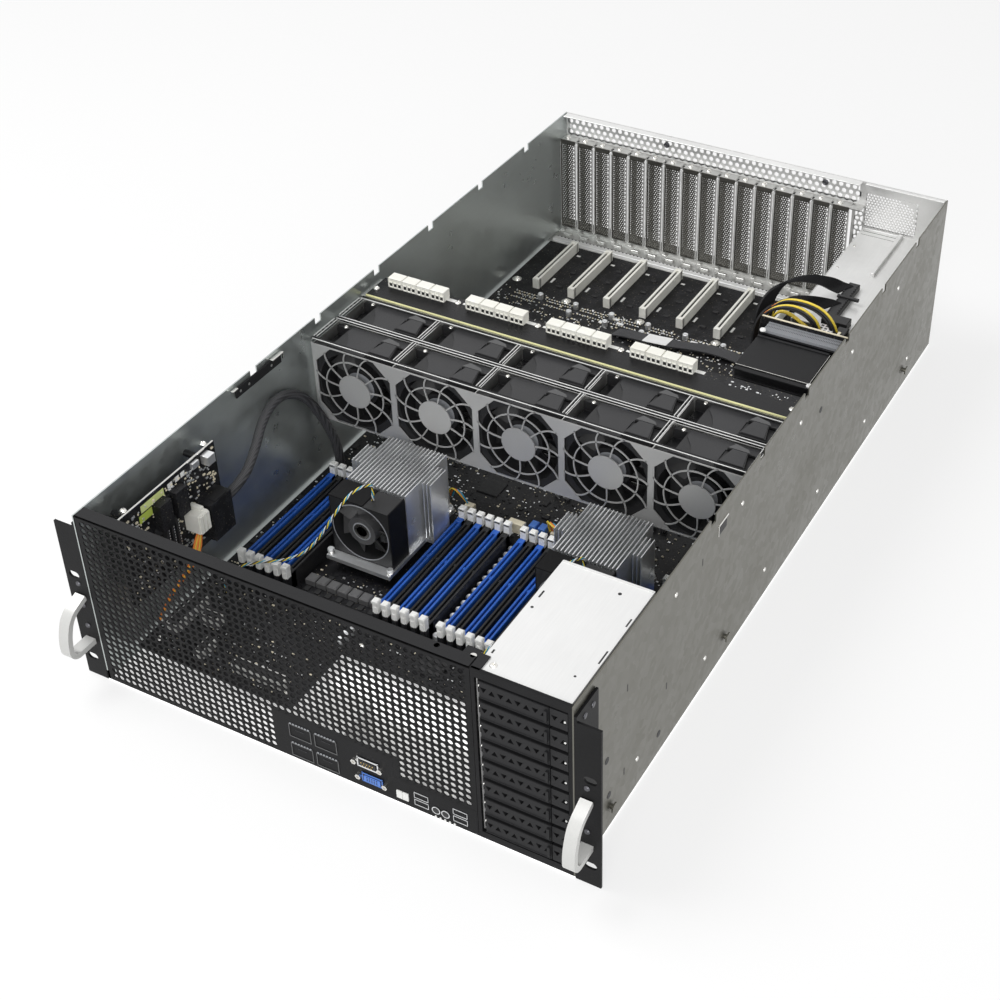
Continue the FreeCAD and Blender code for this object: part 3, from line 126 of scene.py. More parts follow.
# %% [markdown]
# A finish is a formula over the piece's own coordinates: scratches, zinc grain and board tracks are sums and
# products of noise. The class below lets such a formula be written as one, and adds the nodes behind it.
# %% Formulas for finishes


class Signal:
    """An output socket of a material; + - and * add Math nodes behind it."""

    def __init__(self, tree, socket=None):
        self.tree, self.socket = tree, socket

    def node(self, kind, settings=(), inputs=(), out=0):
        """Adds any node: its settings first, then the values or links of its sockets."""
        made = self.tree.nodes.new("ShaderNode" + kind)
        for key, value in dict(settings).items():
            setattr(made, key, value)
        for key, value in dict(inputs).items():
            if isinstance(value, Signal):
                self.tree.links.new(value.socket, made.inputs[key])
            else:
                made.inputs[key].default_value = value
        return Signal(self.tree, made.outputs[out])

    def maths(self, operation, *values):
        """One Math node: the operation applied to its values."""
        return self.node("Math", {"operation": operation}, dict(enumerate(values)))

    def __add__(self, other):
        return self.maths("ADD", self, other)

    def __sub__(self, other):
        return self.maths("SUBTRACT", self, other)

    def __rsub__(self, other):
        return self.maths("SUBTRACT", other, self)

    def __mul__(self, other):
        return self.maths("MULTIPLY", self, other)

    __radd__, __rmul__ = __add__, __mul__

    def step(self, low, high):
        """0 below low, 1 above high, a smooth rise between."""
        return self.node("MapRange", {"interpolation_type": "SMOOTHSTEP"}, {0: self, 1: low, 2: high})

    def colour(self, low, high):
        """The first colour where the signal is 0, the second where it is 1."""
        ends = [value if isinstance(value, Signal) else (*value, 1) for value in (low, high)]
        return self.node("Mix", {"data_type": "RGBA"}, {0: self, 6: ends[0], 7: ends[1]}, out=2)

    def stretch(self, x, y, z):
        """Coordinates times a factor for each axis; a small factor draws noise out along it."""
        return self.node("VectorMath", {"operation": "MULTIPLY"}, {0: self, 1: (x, y, z)})

    def noise(self, size, detail=2):
        """Cloudy noise around 0.5; size is that of a cloud, in metres."""
        return self.node("TexNoise", (), {"Vector": self, "Scale": 1 / size, "Detail": detail})

    def cells(self, size, out=0):
        """Voronoi cells of about this size in metres: their distance, or with out=1 a colour for each."""
        return self.node("TexVoronoi", (), {"Vector": self, "Scale": 1 / size}, out)

    def axis(self, name):
        """One coordinate of a place: X, Y or Z."""
        return self.node("SeparateXYZ", (), {0: self}, out="XYZ".index(name))


def finish(name, formula, depth=0.0002, **constants):
    """A material. The formula turns object coordinates into the shader's inputs; Height becomes a bump."""
    material = bpy.data.materials.new(name)
    material.use_nodes = True
    tree = material.node_tree
    shader = tree.nodes["Principled BSDF"]
    place = Signal(tree).node("TexCoord", out=3)
    for key, value in constants.items():
        shader.inputs[key.replace("_", " ")].default_value = value
    for key, value in formula(place).items():
        if key == "Height":
            value = value.node("Bump", (), {"Height": value, "Distance": depth, "Strength": 0.6})
            key = "Normal"
        if isinstance(value, Signal):
            tree.links.new(value.socket, shader.inputs[key])
        else:
            shader.inputs[key].default_value = value
    return material


def shade(tint, share):
    """A colour made darker or lighter by a share."""
    return tuple(min(1.0, part * share) for part in tint)


print("formulas ready")

# %% [markdown]
# The case is zinc-coated sheet. Zinc freezes in flat crystals of a few millimetres, each a little lighter
# or darker than the next, and handling leaves faint smears. Plated brackets are brighter and show the fine
# lines of the rolling mill. Powder coat is black with a fine orange-peel bump.
# %% Metal finishes


def zinc(tint, contrast=1.0):
    """Brightness adds each crystal's grey, wide smears and rolling lines; smears also change the gloss."""
    def formula(place):
        crystals = place.cells(0.006, out=1).node("RGBToBW", (), {0: place.cells(0.006, out=1)})
        smears, rolled = place.noise(0.09, 3), place.stretch(1, 0.06, 1).noise(0.0016)
        mix = (crystals - 0.5) * (0.30 * contrast) + (smears - 0.5) * 0.9 + (rolled - 0.5) * 0.25 + 0.5
        return {"Base Color": mix.colour(shade(tint, 0.86), shade(tint, 1.12)),
                "Roughness": (crystals - 0.5) * 0.14 + (smears - 0.5) * 0.3 + 0.36,
                "Height": rolled * 0.15 + crystals * 0.1}
    return formula


def plated(tint, rough=0.24):
    """Brightness is half rolling lines, half smears; roughness is a base plus a quarter of the smears."""
    def formula(place):
        rolled, smears = place.stretch(1, 0.05, 1).noise(0.0012), place.noise(0.05, 3)
        return {"Base Color": (rolled * 0.5 + smears * 0.5).colour(shade(tint, 0.9), shade(tint, 1.08)),
                "Roughness": (smears - 0.5) * 0.25 + rough, "Height": rolled * 0.12}
    return formula


def powder(tint):
    """A fine noise is the bump; a wide one, stepped, is dust that lightens the tint."""
    def formula(place):
        peel, dust = place.noise(0.0011), place.noise(0.06, 4)
        return {"Base Color": dust.step(0.35, 0.75).colour(tint, shade(tint, 1.7)),
                "Roughness": (dust - 0.5) * 0.2 + 0.44, "Height": peel}
    return formula


zinc_sheet = finish("zinc_sheet", zinc((0.60, 0.60, 0.585)), Metallic=0.9)
bright_sheet = finish("bright_sheet", plated((0.80, 0.80, 0.79)), Metallic=0.95)
fin_metal = finish("fin_metal", plated((0.82, 0.83, 0.84), 0.32), Metallic=0.8)
screw_metal = finish("screw_metal", plated((0.78, 0.77, 0.74), 0.22), Metallic=1.0)
dark_screw = finish("dark_screw", plated((0.10, 0.10, 0.11), 0.35), Metallic=0.7)
gold_metal = finish("gold_metal", plated((0.83, 0.60, 0.22), 0.28), Metallic=1.0)
black_coat = finish("black_coat", powder((0.008, 0.008, 0.0085)), Specular_IOR_Level=0.1)
# painted light: the pan is near-white zinc that glows with a white emission of its own, so its floor reads
# bright even where it lies in shade.
pan_sheet = finish("pan_sheet", zinc((0.97, 0.97, 0.96), 0.3), Metallic=0.0, Emission_Color=(1, 1, 1, 1),
                   Emission_Strength=0.45)
pale_sheet = finish("pale_sheet", zinc((0.80, 0.80, 0.79), 0.5), Metallic=0.45)
# painted shade: the slot covers are zinc sheet, drawn in a near-black tint for the shade they lie in.
shaded_cover_metal = finish("shaded_cover_metal", zinc((0.16, 0.155, 0.14), 0.8), Metallic=0.8)
cage_white = finish("cage_white", plated((0.76, 0.76, 0.755), 0.5), Metallic=0.1)
handle_metal = finish("handle_metal", plated((0.60, 0.60, 0.585), 0.4), Metallic=0.35)
satin_bow = finish("satin_bow", plated((0.80, 0.80, 0.79), 0.4), Metallic=0.35)
guard_light = finish("guard_light", plated((0.55, 0.55, 0.545), 0.4), Metallic=0.45)
blue_grey = finish("blue_grey", zinc((0.50, 0.535, 0.525), 0.7), Metallic=0.85)
# painted shade: the right wall is olive-grey zinc like the left wall's sheet, made far darker for the shade
# on it.
shaded_olive_grey = finish("shaded_olive_grey", zinc((0.155, 0.151, 0.130), 0.7), Metallic=0.8)
print("metal finishes", len(bpy.data.materials))

# %% [markdown]
# Moulded plastic has a fine spark-eroded grain and small differences in gloss. Circuit boards carry tracks
# under the solder mask: thin lines along square cells, and a faint dot where a via comes through.
# %% Plastic and board finishes


def moulded(tint, rough=0.42, grain=0.0005):
    """A fine grain is the bump; a wide cloud varies the tint and the roughness a little."""
    def formula(place):
        sparks, cloud = place.noise(grain), place.noise(0.03, 3)
        return {"Base Color": cloud.colour(shade(tint, 0.85), shade(tint, 1.2)),
                "Roughness": (cloud - 0.5) * 0.22 + rough, "Height": sparks}
    return formula


def board(tint):
    """Tracks are the borders of square Voronoi cells; vias are the middles of other, smaller cells."""
    def formula(place):
        squares = place.node("TexVoronoi", {"distance": "CHEBYCHEV"}, {"Vector": place, "Scale": 420.0})
        patches = place.node("TexNoise", (), {"Vector": place, "Scale": 60.0})
        tracks = squares.step(0.34, 0.40) * patches.step(0.42, 0.55)
        vias = 1 - place.cells(0.0034).step(0.10, 0.16)
        base = tracks.colour(tint, shade(tint, 2.1))
        return {"Base Color": (vias * 0.5).colour(base, (0.30, 0.27, 0.20)),
                "Roughness": place.noise(0.02) * 0.2 + 0.28, "Height": tracks}
    return formula


board_black = finish("board_black", board((0.009, 0.009, 0.010)), depth=0.00008, Specular_IOR_Level=0.2)


def carrier_with_painted_light(place):
    """The connector board: black at the plate, and from 8 mm behind it painted white, as painted light for
    the bright floor seen through the mesh.
    """
    rear = place.axis("Y").step(-0.3925, -0.392)
    return {"Base Color": rear.colour((0.012, 0.012, 0.013), (0.95, 0.95, 0.94)),
            "Roughness": rear * 0.1 + 0.42}


def latch(place):
    """A latch is white at its head; below 27 mm, where its foot stands in the end of the socket, it is
    painted dark as shade.
    """
    head = place.axis("Z").step(0.0268, 0.0272)
    return {"Base Color": head.colour((0.012, 0.012, 0.014), (0.95, 0.95, 0.93)),
            "Roughness": place.noise(0.01) * 0.1 + 0.34}


port_coat_painted_light = finish("port_coat_painted_light", carrier_with_painted_light)
latch_white_painted_shade = finish("latch_white_painted_shade", latch)
board_green = finish("board_green", board((0.03, 0.13, 0.07)), depth=0.00008, Coat_Weight=0.25)
black_plastic = finish("black_plastic", moulded((0.018, 0.018, 0.019)), Specular_IOR_Level=0.35)
charcoal = finish("charcoal", moulded((0.016, 0.016, 0.017), 0.5), Specular_IOR_Level=0.16)
latch_grey = finish("latch_grey", moulded((0.075, 0.075, 0.077), 0.42))
grey_plastic = finish("grey_plastic", moulded((0.30, 0.31, 0.33)))
pale_plastic = finish("pale_plastic", moulded((0.72, 0.72, 0.70)))
cream = finish("cream", moulded((0.80, 0.73, 0.56)))
ivory = finish("ivory", moulded((0.93, 0.91, 0.80), 0.5))
white_plastic = finish("white_plastic", moulded((0.95, 0.95, 0.93), 0.35))
gloss_black = finish("gloss_black", moulded((0.006, 0.006, 0.007), 0.3), Specular_IOR_Level=0.25)
lime_patch = finish("lime_patch", moulded((0.50, 0.62, 0.10), 0.5))
lime_light = finish("lime_light", moulded((0.70, 0.78, 0.32), 0.5))
white_ink = finish("white_ink", moulded((0.80, 0.80, 0.78), 0.5))
blue_plastic = finish("blue_plastic", moulded((0.022, 0.115, 0.50), 0.34))
video_blue = finish("video_blue", moulded((0.07, 0.19, 0.58), 0.35))
chip_black = finish("chip_black", moulded((0.024, 0.024, 0.025), 0.5, 0.0003), Specular_IOR_Level=0.3)
holder_grey = finish("holder_grey", moulded((0.034, 0.034, 0.036), 0.4), Specular_IOR_Level=0.3)
gilt_line = finish("gilt_line", moulded((0.78, 0.76, 0.40), 0.4))
choke_grey = finish("choke_grey", moulded((0.12, 0.12, 0.122), 0.55, 0.0007))
orange_wire = finish("orange_wire", moulded((0.80, 0.22, 0.03), 0.35))
yellow_wire = finish("yellow_wire", moulded((0.82, 0.62, 0.06), 0.35))
blue_wire = finish("blue_wire", moulded((0.03, 0.30, 0.48), 0.35))
white_wire = finish("white_wire", moulded((0.75, 0.75, 0.73), 0.35))
print("finishes", len(bpy.data.materials))

# %% [markdown]
# Every solid of the frame gets its finish by name. The rest of the file adds to them, or replaces a plain
# one by a finer piece in the same place.
# %% Finishes on the frame
COATS = {
    pan_sheet: "base_pan",
    zinc_sheet: "rear_panel card_rails fan_wall supply_units slot_covers",
    blue_grey: "left_wall",
    shaded_olive_grey: "right_wall",
    pale_sheet: "supply_cage",
    cage_white: "drive_cage",
    handle_metal: "ear_handles",
    fin_metal: "cooler_sinks",
    guard_light: "fan_guard",
    black_coat: "rack_ears drive_bezel cooler_brackets",
    board_black: "main_board power_board card_board side_board supply_board",
    board_green: "drive_backplane",
    port_coat_painted_light: "port_board",
    black_plastic: "fan_frames cooler_fan_frames supply_block power_button reset_button "
                   + " ".join(f"fan_rotors_{k}" for k in range(1, 6)),
    charcoal: " ".join(f"drive_tray_{k} tray_lever_{k}" for k in range(1, 9)),
    latch_grey: "cooler_rotor_1 cooler_rotor_2",
    grey_plastic: "rib_bar",
    white_plastic: "supply_socket",
    latch_white_painted_shade: "memory_latches_front memory_latches_rear",
    ivory: "power_plugs card_slots",
}
for coat, names in COATS.items():
    for name in names.split():
        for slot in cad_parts[name].material_slots:
            slot.material = coat
print("coated", sum(len(names.split()) for names in COATS.values()), "of", len(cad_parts))

# %% [markdown]
# Small parts come in hundreds, so they are worked out as whole arrays: one unit shape, copied to many
# places by adding a table of centres to a table of corners. All tables are in millimetres.
# %% Shapes as arrays


def piece(name, shapes, coat, body="chassis", smooth=False):
    """One mesh object from several (points, face tables); its place is in its mesh, in metres."""
    points, loops, sizes, first = [], [], [], 0
    for corners, tables in shapes:
        for table in tables:
            loops.append(np.asarray(table).ravel() + first)
            sizes.append(np.full(len(table), len(table[0])))
        points.append(np.asarray(corners, float).reshape(-1, 3))
        first += len(points[-1])
    points, loops, sizes = np.concatenate(points), np.concatenate(loops), np.concatenate(sizes)
    mesh = bpy.data.meshes.new(name)
    mesh.vertices.add(len(points))
    mesh.vertices.foreach_set("co", (points / 1000).ravel())
    mesh.loops.add(len(loops))
    mesh.loops.foreach_set("vertex_index", loops.astype(np.int32))
    mesh.polygons.add(len(sizes))
    mesh.polygons.foreach_set("loop_start", (np.cumsum(sizes) - sizes).astype(np.int32))
    mesh.update(calc_edges=True)
    mesh.validate()
    mesh.materials.append(coat)
    if smooth:
        mesh.shade_smooth()
        mesh.set_sharp_from_angle(angle=math.radians(32))
    else:
        mesh.shade_flat()
    thing = bpy.data.objects.new(name, mesh)
    scene.collection.objects.link(thing)
    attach(thing, body)
    return thing


def tiled(unit, faces, places):
    """Copies a unit's corners to every place: the table of places plus the table of corners."""
    places = np.asarray(places, float).reshape(-1, 3)
    corners = (places[:, None, :] + np.asarray(unit, float)[None]).reshape(-1, 3)
    shift = np.arange(len(places))[:, None, None] * len(unit)
    return corners, [(np.asarray(table)[None] + shift).reshape(-1, len(table[0])) for table in faces]


def bricks(rows, chamfer=0.3):
    """Boxes with a chamfered top. A row is x, y of the middle, z of the underside, width, depth, height."""
    rows = np.asarray(rows, float).reshape(-1, 6)
    signs = np.array(((-1, -1), (1, -1), (1, 1), (-1, 1))) / 2
    rings = []
    for inset, rise in ((0, 0), (0, 1), (1, 1)):
        across = signs[None] * (rows[:, None, 3:5] - 2 * inset * chamfer)
        up = rows[:, 2] + rise * (rows[:, 5] - (1 - inset) * chamfer)
        rings.append(np.concatenate((rows[:, None, :2] + across, np.repeat(up[:, None, None], 4, 1)), 2))
    corners = np.concatenate(rings, 1).reshape(-1, 3)
    ring = np.array([(i, (i + 1) % 4, (i + 1) % 4 + 4, i + 4) for i in range(4)])
    unit = np.concatenate((ring, ring + 4, ((8, 9, 10, 11), (3, 2, 1, 0))))
    return corners, [(unit[None] + 12 * np.arange(len(rows))[:, None, None]).reshape(-1, 4)]


def turned(places, profile, sides=16, axis="z", lobes=0.0):
    """A profile of (radius, height) turned round z, or round -y for axis "f" and x for "x"; lobes pull the
    rings marked with a third number into a cross: radius * (1 + lobes * cos 4 angle)."""
    angle = np.linspace(0, math.tau, sides, endpoint=False)
    rings = []
    for radius, height, *cross in profile:
        reach = radius * (1 + (lobes if cross else 0) * np.cos(4 * angle))
        rings.append(np.column_stack((reach * np.cos(angle), reach * np.sin(angle), np.full(sides, height))))
    unit = np.concatenate(rings)
    order = {"z": (0, 1, 2, 1, 1, 1), "f": (0, 2, 1, 1, -1, 1), "x": (2, 1, 0, 1, 1, -1)}[axis]
    unit = unit[:, order[:3]] * np.array(order[3:])
    i = np.arange(sides)
    j = (i + 1) % sides
    band = np.column_stack((i, j, j + sides, i + sides))
    bands = np.concatenate([band + sides * k for k in range(len(profile) - 1)])
    last = sides * (len(profile) - 1)
    return tiled(unit, [bands, [i[::-1]], [i + last]], places)


def ribbon(points, width, thickness, across):
    """A flat strip along points: a rectangle whose wide side runs along the direction across."""
    points = np.asarray(points, float)
    ahead = np.gradient(points, axis=0)
    wide = np.asarray(across, float)[None] * np.ones((len(points), 1))
    thin = np.cross(ahead, wide)
    thin /= np.linalg.norm(thin, axis=1)[:, None]
    sides = [points + a * wide * width / 2 + b * thin * thickness / 2
             for a, b in ((-1, -1), (1, -1), (1, 1), (-1, 1))]
    corners = np.stack(sides, 1).reshape(-1, 3)
    ring = np.array([(i, (i + 1) % 4, (i + 1) % 4 + 4, i + 4) for i in range(4)])
    bands = (ring[None] + 4 * np.arange(len(points) - 1)[:, None, None]).reshape(-1, 4)
    last = 4 * (len(points) - 1)
    return corners, [bands, [(3, 2, 1, 0)], [(last, last + 1, last + 2, last + 3)]]


def wire(name, points, radius, coat, coarse=6):
    """A round wire along a smooth curve through millimetre points, as a NURBS curve with its own UVs."""
    line = bpy.data.curves.new(name, "CURVE")
    line.dimensions, line.bevel_depth, line.bevel_resolution = "3D", radius / 1000, 2
    line.resolution_u, line.use_fill_caps = coarse, True
    spline = line.splines.new("NURBS")
    spline.points.add(len(points) - 1)
    spline.points.foreach_set("co", np.column_stack((np.array(points) / 1000, np.ones(len(points)))).ravel())
    spline.order_u, spline.use_endpoint_u = 3, True
    line.materials.append(coat)
    thing = bpy.data.objects.new(name, line)
    scene.collection.objects.link(thing)
    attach(thing, "chassis")
    return thing


SCREW = ((3.0, 0), (3.0, 0.9), (2.4, 1.7), (1.5, 1.95, 1), (1.0, 1.0, 1))


def boxes(name, rows, chamfer, coat, body="chassis"):
    """A piece of chamfered boxes."""
    return piece(name, [bricks(rows, chamfer)], coat, body)


def round_piece(name, places, profile, sides, coat, axis="z", body="chassis", smooth=False, lobes=0.0):
    """A piece of turned parts, copied to every place."""
    return piece(name, [turned(places, profile, sides, axis, lobes)], coat, body, smooth)


def screws(name, places, coat=screw_metal, smooth=False):
    """Screw heads with a cross in them, standing on z."""
    return round_piece(name, places, SCREW, 20, coat, smooth=smooth, lobes=0.35)


print("shapes ready")

# %% [markdown]
# Perforated sheet comes in two patterns. The front plate has its holes in a square grid: each cell is a ring
# between a square and a hole with twelve corners. The rear covers have a triangular lattice, so their cells
# are six-sided. Solidify then gives a sheet its thickness, also inside every hole.
# %% Perforated sheet


def grid_of_holes(x, z, y, pitch, radius, blank=()):
    """Square cells side by side; a cell keeps its hole outside the blank rectangles and is closed in them."""
    columns, rows = int((x[1] - x[0]) / pitch), int((z[1] - z[0]) / pitch)
    j, i = np.mgrid[0:rows, 0:columns].reshape(2, -1)
    u = (x[0] + x[1]) / 2 + pitch * (i - (columns - 1) / 2)
    v = (z[0] + z[1]) / 2 + pitch * (j - (rows - 1) / 2)
    is_open = np.ones(len(u), bool)
    for x0, x1, z0, z1 in blank:
        is_open &= ~((u > x0 - radius) & (u < x1 + radius) & (v > z0 - radius) & (v < z1 + radius))
    angle = np.radians(15 + 30 * np.arange(12))
    reach = pitch / 2 / np.maximum(abs(np.cos(angle)), abs(np.sin(angle)))
    outer = np.stack((u[:, None] + reach * np.cos(angle), v[:, None] + reach * np.sin(angle)), 2)
    corner = np.array(((1, 1), (-1, 1), (-1, -1), (1, -1))) * pitch / 2
    corners = np.stack((u, v), 1)[:, None] + corner[None]
    inner = np.stack((u[:, None] + radius * np.cos(angle), v[:, None] + radius * np.sin(angle)), 2)
    cell = np.concatenate((outer, inner, corners), 1)
    k = np.arange(12)
    ring = np.column_stack((k, (k + 1) % 12, (k + 1) % 12 + 12, k + 12))
    tips = np.array([(3 * q + 1, 24 + q, 3 * q + 2) for q in range(4)])
    first = 28 * np.arange(len(u))[:, None, None]
    flat = cell.reshape(-1, 2)
    points = np.column_stack((flat[:, 0], np.full(len(flat), y), flat[:, 1]))
    tables = [(ring + first[is_open]).reshape(-1, 4), (tips + first[is_open]).reshape(-1, 3)]
    if (~is_open).any():
        tables.append((np.arange(24, 28)[None] + first[~is_open, 0]).reshape(-1, 4))
    limits = (u.min() - pitch / 2, u.max() + pitch / 2, v.min() - pitch / 2, v.max() + pitch / 2)
    return points, tables, limits


def honeycomb(x, z, y, pitch, radius, blank=()):
    """Lattice rows are pitch * cos 30 apart and every other row is shifted by half a pitch. A cell is open
    where its whole hole lies in the limits x and z and outside the blank rectangles."""
    rise = pitch * math.cos(math.radians(30))
    rows, columns = int((z[1] - z[0]) / rise), int((x[1] - x[0]) / pitch)
    j, i = np.mgrid[0:rows, 0:columns]
    u = x[0] + pitch * (i + 0.5 + 0.5 * (j % 2))
    v = z[0] + rise * (j + 0.5)
    u, v = u[u < x[1] - radius], v[u < x[1] - radius]
    is_open = np.ones(len(u), bool)
    for x0, x1, z0, z1 in blank:
        is_open &= ~((u > x0 - radius) & (u < x1 + radius) & (v > z0 - radius) & (v < z1 + radius))
    angle = np.radians(30 + 60 * np.arange(6))
    side = pitch / math.sqrt(3)
    outer = np.stack((u[:, None] + side * np.cos(angle), v[:, None] + side * np.sin(angle)), 2)
    inner = np.stack((u[:, None] + radius * np.cos(angle), v[:, None] + radius * np.sin(angle)), 2)[is_open]
    corners, where = np.unique(np.round(outer.reshape(-1, 2), 3), axis=0, return_inverse=True)
    where = where.reshape(-1, 6)
    edge = len(corners) + np.arange(is_open.sum() * 6).reshape(-1, 6)
    ring = where[is_open]
    bands = np.stack((ring, np.roll(ring, -1, 1), np.roll(edge, -1, 1), edge), 2).reshape(-1, 4)
    flat = np.concatenate((corners, inner.reshape(-1, 2)))
    points = np.column_stack((flat[:, 0], np.full(len(flat), y), flat[:, 1]))
    return points, [bands] + ([where[~is_open]] if (~is_open).any() else [])


def thicken(thing, depth):
    """Gives a sheet its thickness behind its front face."""
    wall = thing.modifiers.new("thickness", "SOLIDIFY")
    wall.thickness, wall.offset = depth / 1000, -1


def panes(x, z, y, holes):
    """A flat rectangle facing -y with rectangular holes: grid lines at every edge, no face inside a hole."""
    xs = np.unique([*x, *[v for hole in holes for v in hole[:2]]])
    zs = np.unique([*z, *[v for hole in holes for v in hole[2:]]])
    gx, gz = np.meshgrid(xs, zs, indexing="ij")
    points = np.column_stack((gx.ravel(), np.full(gx.size, y), gz.ravel()))
    i, j = (a.ravel() for a in np.meshgrid(np.arange(len(xs) - 1), np.arange(len(zs) - 1), indexing="ij"))
    middle_x, middle_z = (xs[i] + xs[i + 1]) / 2, (zs[j] + zs[j + 1]) / 2
    keep = np.ones(len(i), bool)
    for x0, x1, z0, z1 in holes:
        keep &= ~((middle_x > x0) & (middle_x < x1) & (middle_z > z0) & (middle_z < z1))
    first = (i * len(zs) + j)[keep]
    return points, [np.column_stack((first, first + len(zs), first + len(zs) + 1, first + 1))]


print("sheets ready")

# %% [markdown]
# The plate itself: a frame round the holes, a blank field for the connectors, and a flange along the top
# whose edge carries a bright line of painted highlight.
# %% Front plate
FACE, INSIDE = -400.0, 218.8
NET = ((-22, 11.2), (2, 11.2), (-22, 32.2), (2, 32.2))
cuts = [(x - 10.3, x + 10.3, z - 6.8, z + 6.8) for x, z in NET]
cuts += [(32, 50, 25, 34), (35, 53, 9.5, 18.5), (65, 77, 5.5, 15.5), (81, 95, 6, 22), (115.5, 129.5, 6, 22)]
cuts += [(x - 2.9, x + 2.9, 7.1, 12.9) for x in (101, 109.4)]
*mesh_sheet, limits = grid_of_holes((-216, 135), (3.5, 172.5), FACE, 6.45, 2.5,
                                    [(-46, 66, 0, 50), (64, 138, 0, 29)])
mesh_part = piece("front_mesh", [mesh_sheet], black_coat)
thicken(mesh_part, 1.0)
frame_part = piece("front_frame", [panes((-INSIDE, 137.8), (1.2, 175), FACE, [limits]),
                                   panes((-42, 64), (2, 48), FACE - 0.06, [c for c in cuts if c[0] < 60]),
                                   panes((64, 137), (2, 27.5), FACE - 0.06, [c for c in cuts if c[0] > 60])],
                   black_coat)
thicken(frame_part, 1.2)
boxes("front_flange", [(-40.5, -393.6, 173.9, 356.6, 12, 1.1)], 0.2, charcoal)


def rims(places, wide, high, line, y):
    """Four thin bars round each opening; a place is the middle (x, z) of one."""
    rows = []
    for x, z in places:
        rows += [(x + s * wide / 2, y, z - high / 2, line, 0.5, high + line) for s in (-1, 1)]
        rows += [(x, y, z + s * high / 2 - line / 2, wide + line, 0.5, line) for s in (-1, 1)]
    return bricks(rows, 0.1)


piece("port_rims", [rims(NET, 20.2, 13.2, 0.45, FACE - 0.4)], choke_grey)
BUS = [(x, z) for x in (88, 122.5) for z in (9.8, 17.4)]
piece("bus_rims", [rims(BUS, 12.2, 5.4, 0.4, FACE - 0.4), rims([(41, 29.5)], 18.4, 8.6, 1.2, FACE - 0.9)],
      fin_metal)
piece("video_rim", [rims([(44, 14)], 18.2, 8.4, 0.9, FACE - 0.9)], video_blue)
# painted highlight: bright lines along the flange's top edge and the plate's left edge.
boxes("front_edge_highlights", [(-40.5, -399.55, 174.2, 356.4, 0.9, 0.8), (-218.35, -399.5, 88, 0.9, 1.0, 87)], 0.1,
      screw_metal)
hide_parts("front_plate")
boxes("front_corner_tabs", [(131, -386, 173.4, 12, 12, 1.2), (-219.2, -397, 1.4, 3.4, 6, 9),
                            (141, -391, 174.4, 9, 16, 0.6)], 0.2, charcoal)
round_piece("front_tab_pins", [(134, -388, 174.8), (106, -391, 174.8)], ((2.6, 0), (2.6, 0.15), (2.2, 0.2)),
            16, screw_metal)
print("front plate, openings in its fields", len(cuts))

# %% [markdown]
# The connectors in the blank field: four network jacks, a serial and a video plug with their screws, a white
# port in two halves, two pairs of flat bus ports, and a row of small lights.
# %% Front connectors
piece("net_cage_top", [bricks([(-10, -386, 41.02, 48.6, 24, 0.4)], 0.1),
                       bricks([(-10 + 4.9 * k, -386 + 6.5 * n, 41.4, 1.6, 2.4, 0.5) for k in range(-4, 5)
                               for n in (-1, 0, 1)], 0.1)], pale_sheet)
boxes("net_liners", [(x, -392, z - 4.9, 15.8, 9, 9.8) for x, z in NET], 0.1, gloss_black)
boxes("net_lips", [(x + 2.8 * (k - 3), -400.4, z + 7.1, 1.7, 0.6, 1.0) for x, z in NET for k in range(7)],
      0.1, grey_plastic)
boxes("net_contacts", [(x + 1.1 * (k - 3.5), -398, z + 1.6, 0.5, 5, 0.4) for x, z in NET for k in range(8)],
      0.1, dark_screw)
boxes("net_lights", [(x + s * 7.1, -398.9, z + 5.1, 2.2, 1.2, 1.2) for x, z in NET for s in (-1, 1)], 0.1,
      choke_grey)
boxes("serial_insert", [(41, -401.2, 26.8, 15, 1, 5.4)], 0.8, black_plastic)
boxes("video_insert", [(44, -401.2, 11.2, 15, 1, 5.6)], 0.8, video_blue)
boxes("white_port", [(71 + s * 2.75, -400.4, 6.9, 5.1, 1.2, 7.9) for s in (-1, 1)], 0.3, pale_plastic)
pins = [(41 + 2.6 * (k - 2), -401.8, 30.8) for k in range(5)]
pins += [(41 + 2.6 * (k - 1.5), -401.8, 28.2) for k in range(4)]
round_piece("serial_pins", pins, ((0.5, 0), (0.5, 0.5)), 8, gold_metal, "f")
holes = [(44 + 2.2 * (k - 2), -401.75, 12.3 + 1.7 * row) for k in range(5) for row in range(3)]
round_piece("video_holes", holes, ((0.55, 0), (0.55, 0.1)), 8, chip_black, "f")
hexes = [(x, FACE, 29.5) for x in (29.2, 52.8)] + [(x, FACE, 14) for x in (31.8, 56.2)]
round_piece("connector_hex_screws", hexes, ((2.6, 0), (2.6, 3.4), (1.4, 3.4), (1.3, 2.4)), 6, screw_metal,
            "f")
boxes("bus_tongues", [(x, -395, z, 9.6, 8, 1.7) for x, z in BUS], 0.2, pale_plastic)
boxes("bus_depths", [(x, -390, z - 2.5, 11.4, 3, 5.0) for x, z in BUS], 0.1, chip_black)
round_piece("front_lights", [(100 + 4.2 * k, FACE, 2.7) for k in range(5)],
            ((1.0, 0), (0.9, 0.5), (0.5, 0.7)), 12, pale_plastic, "f")
print("network jacks", len(NET), "bus ports", len(BUS))

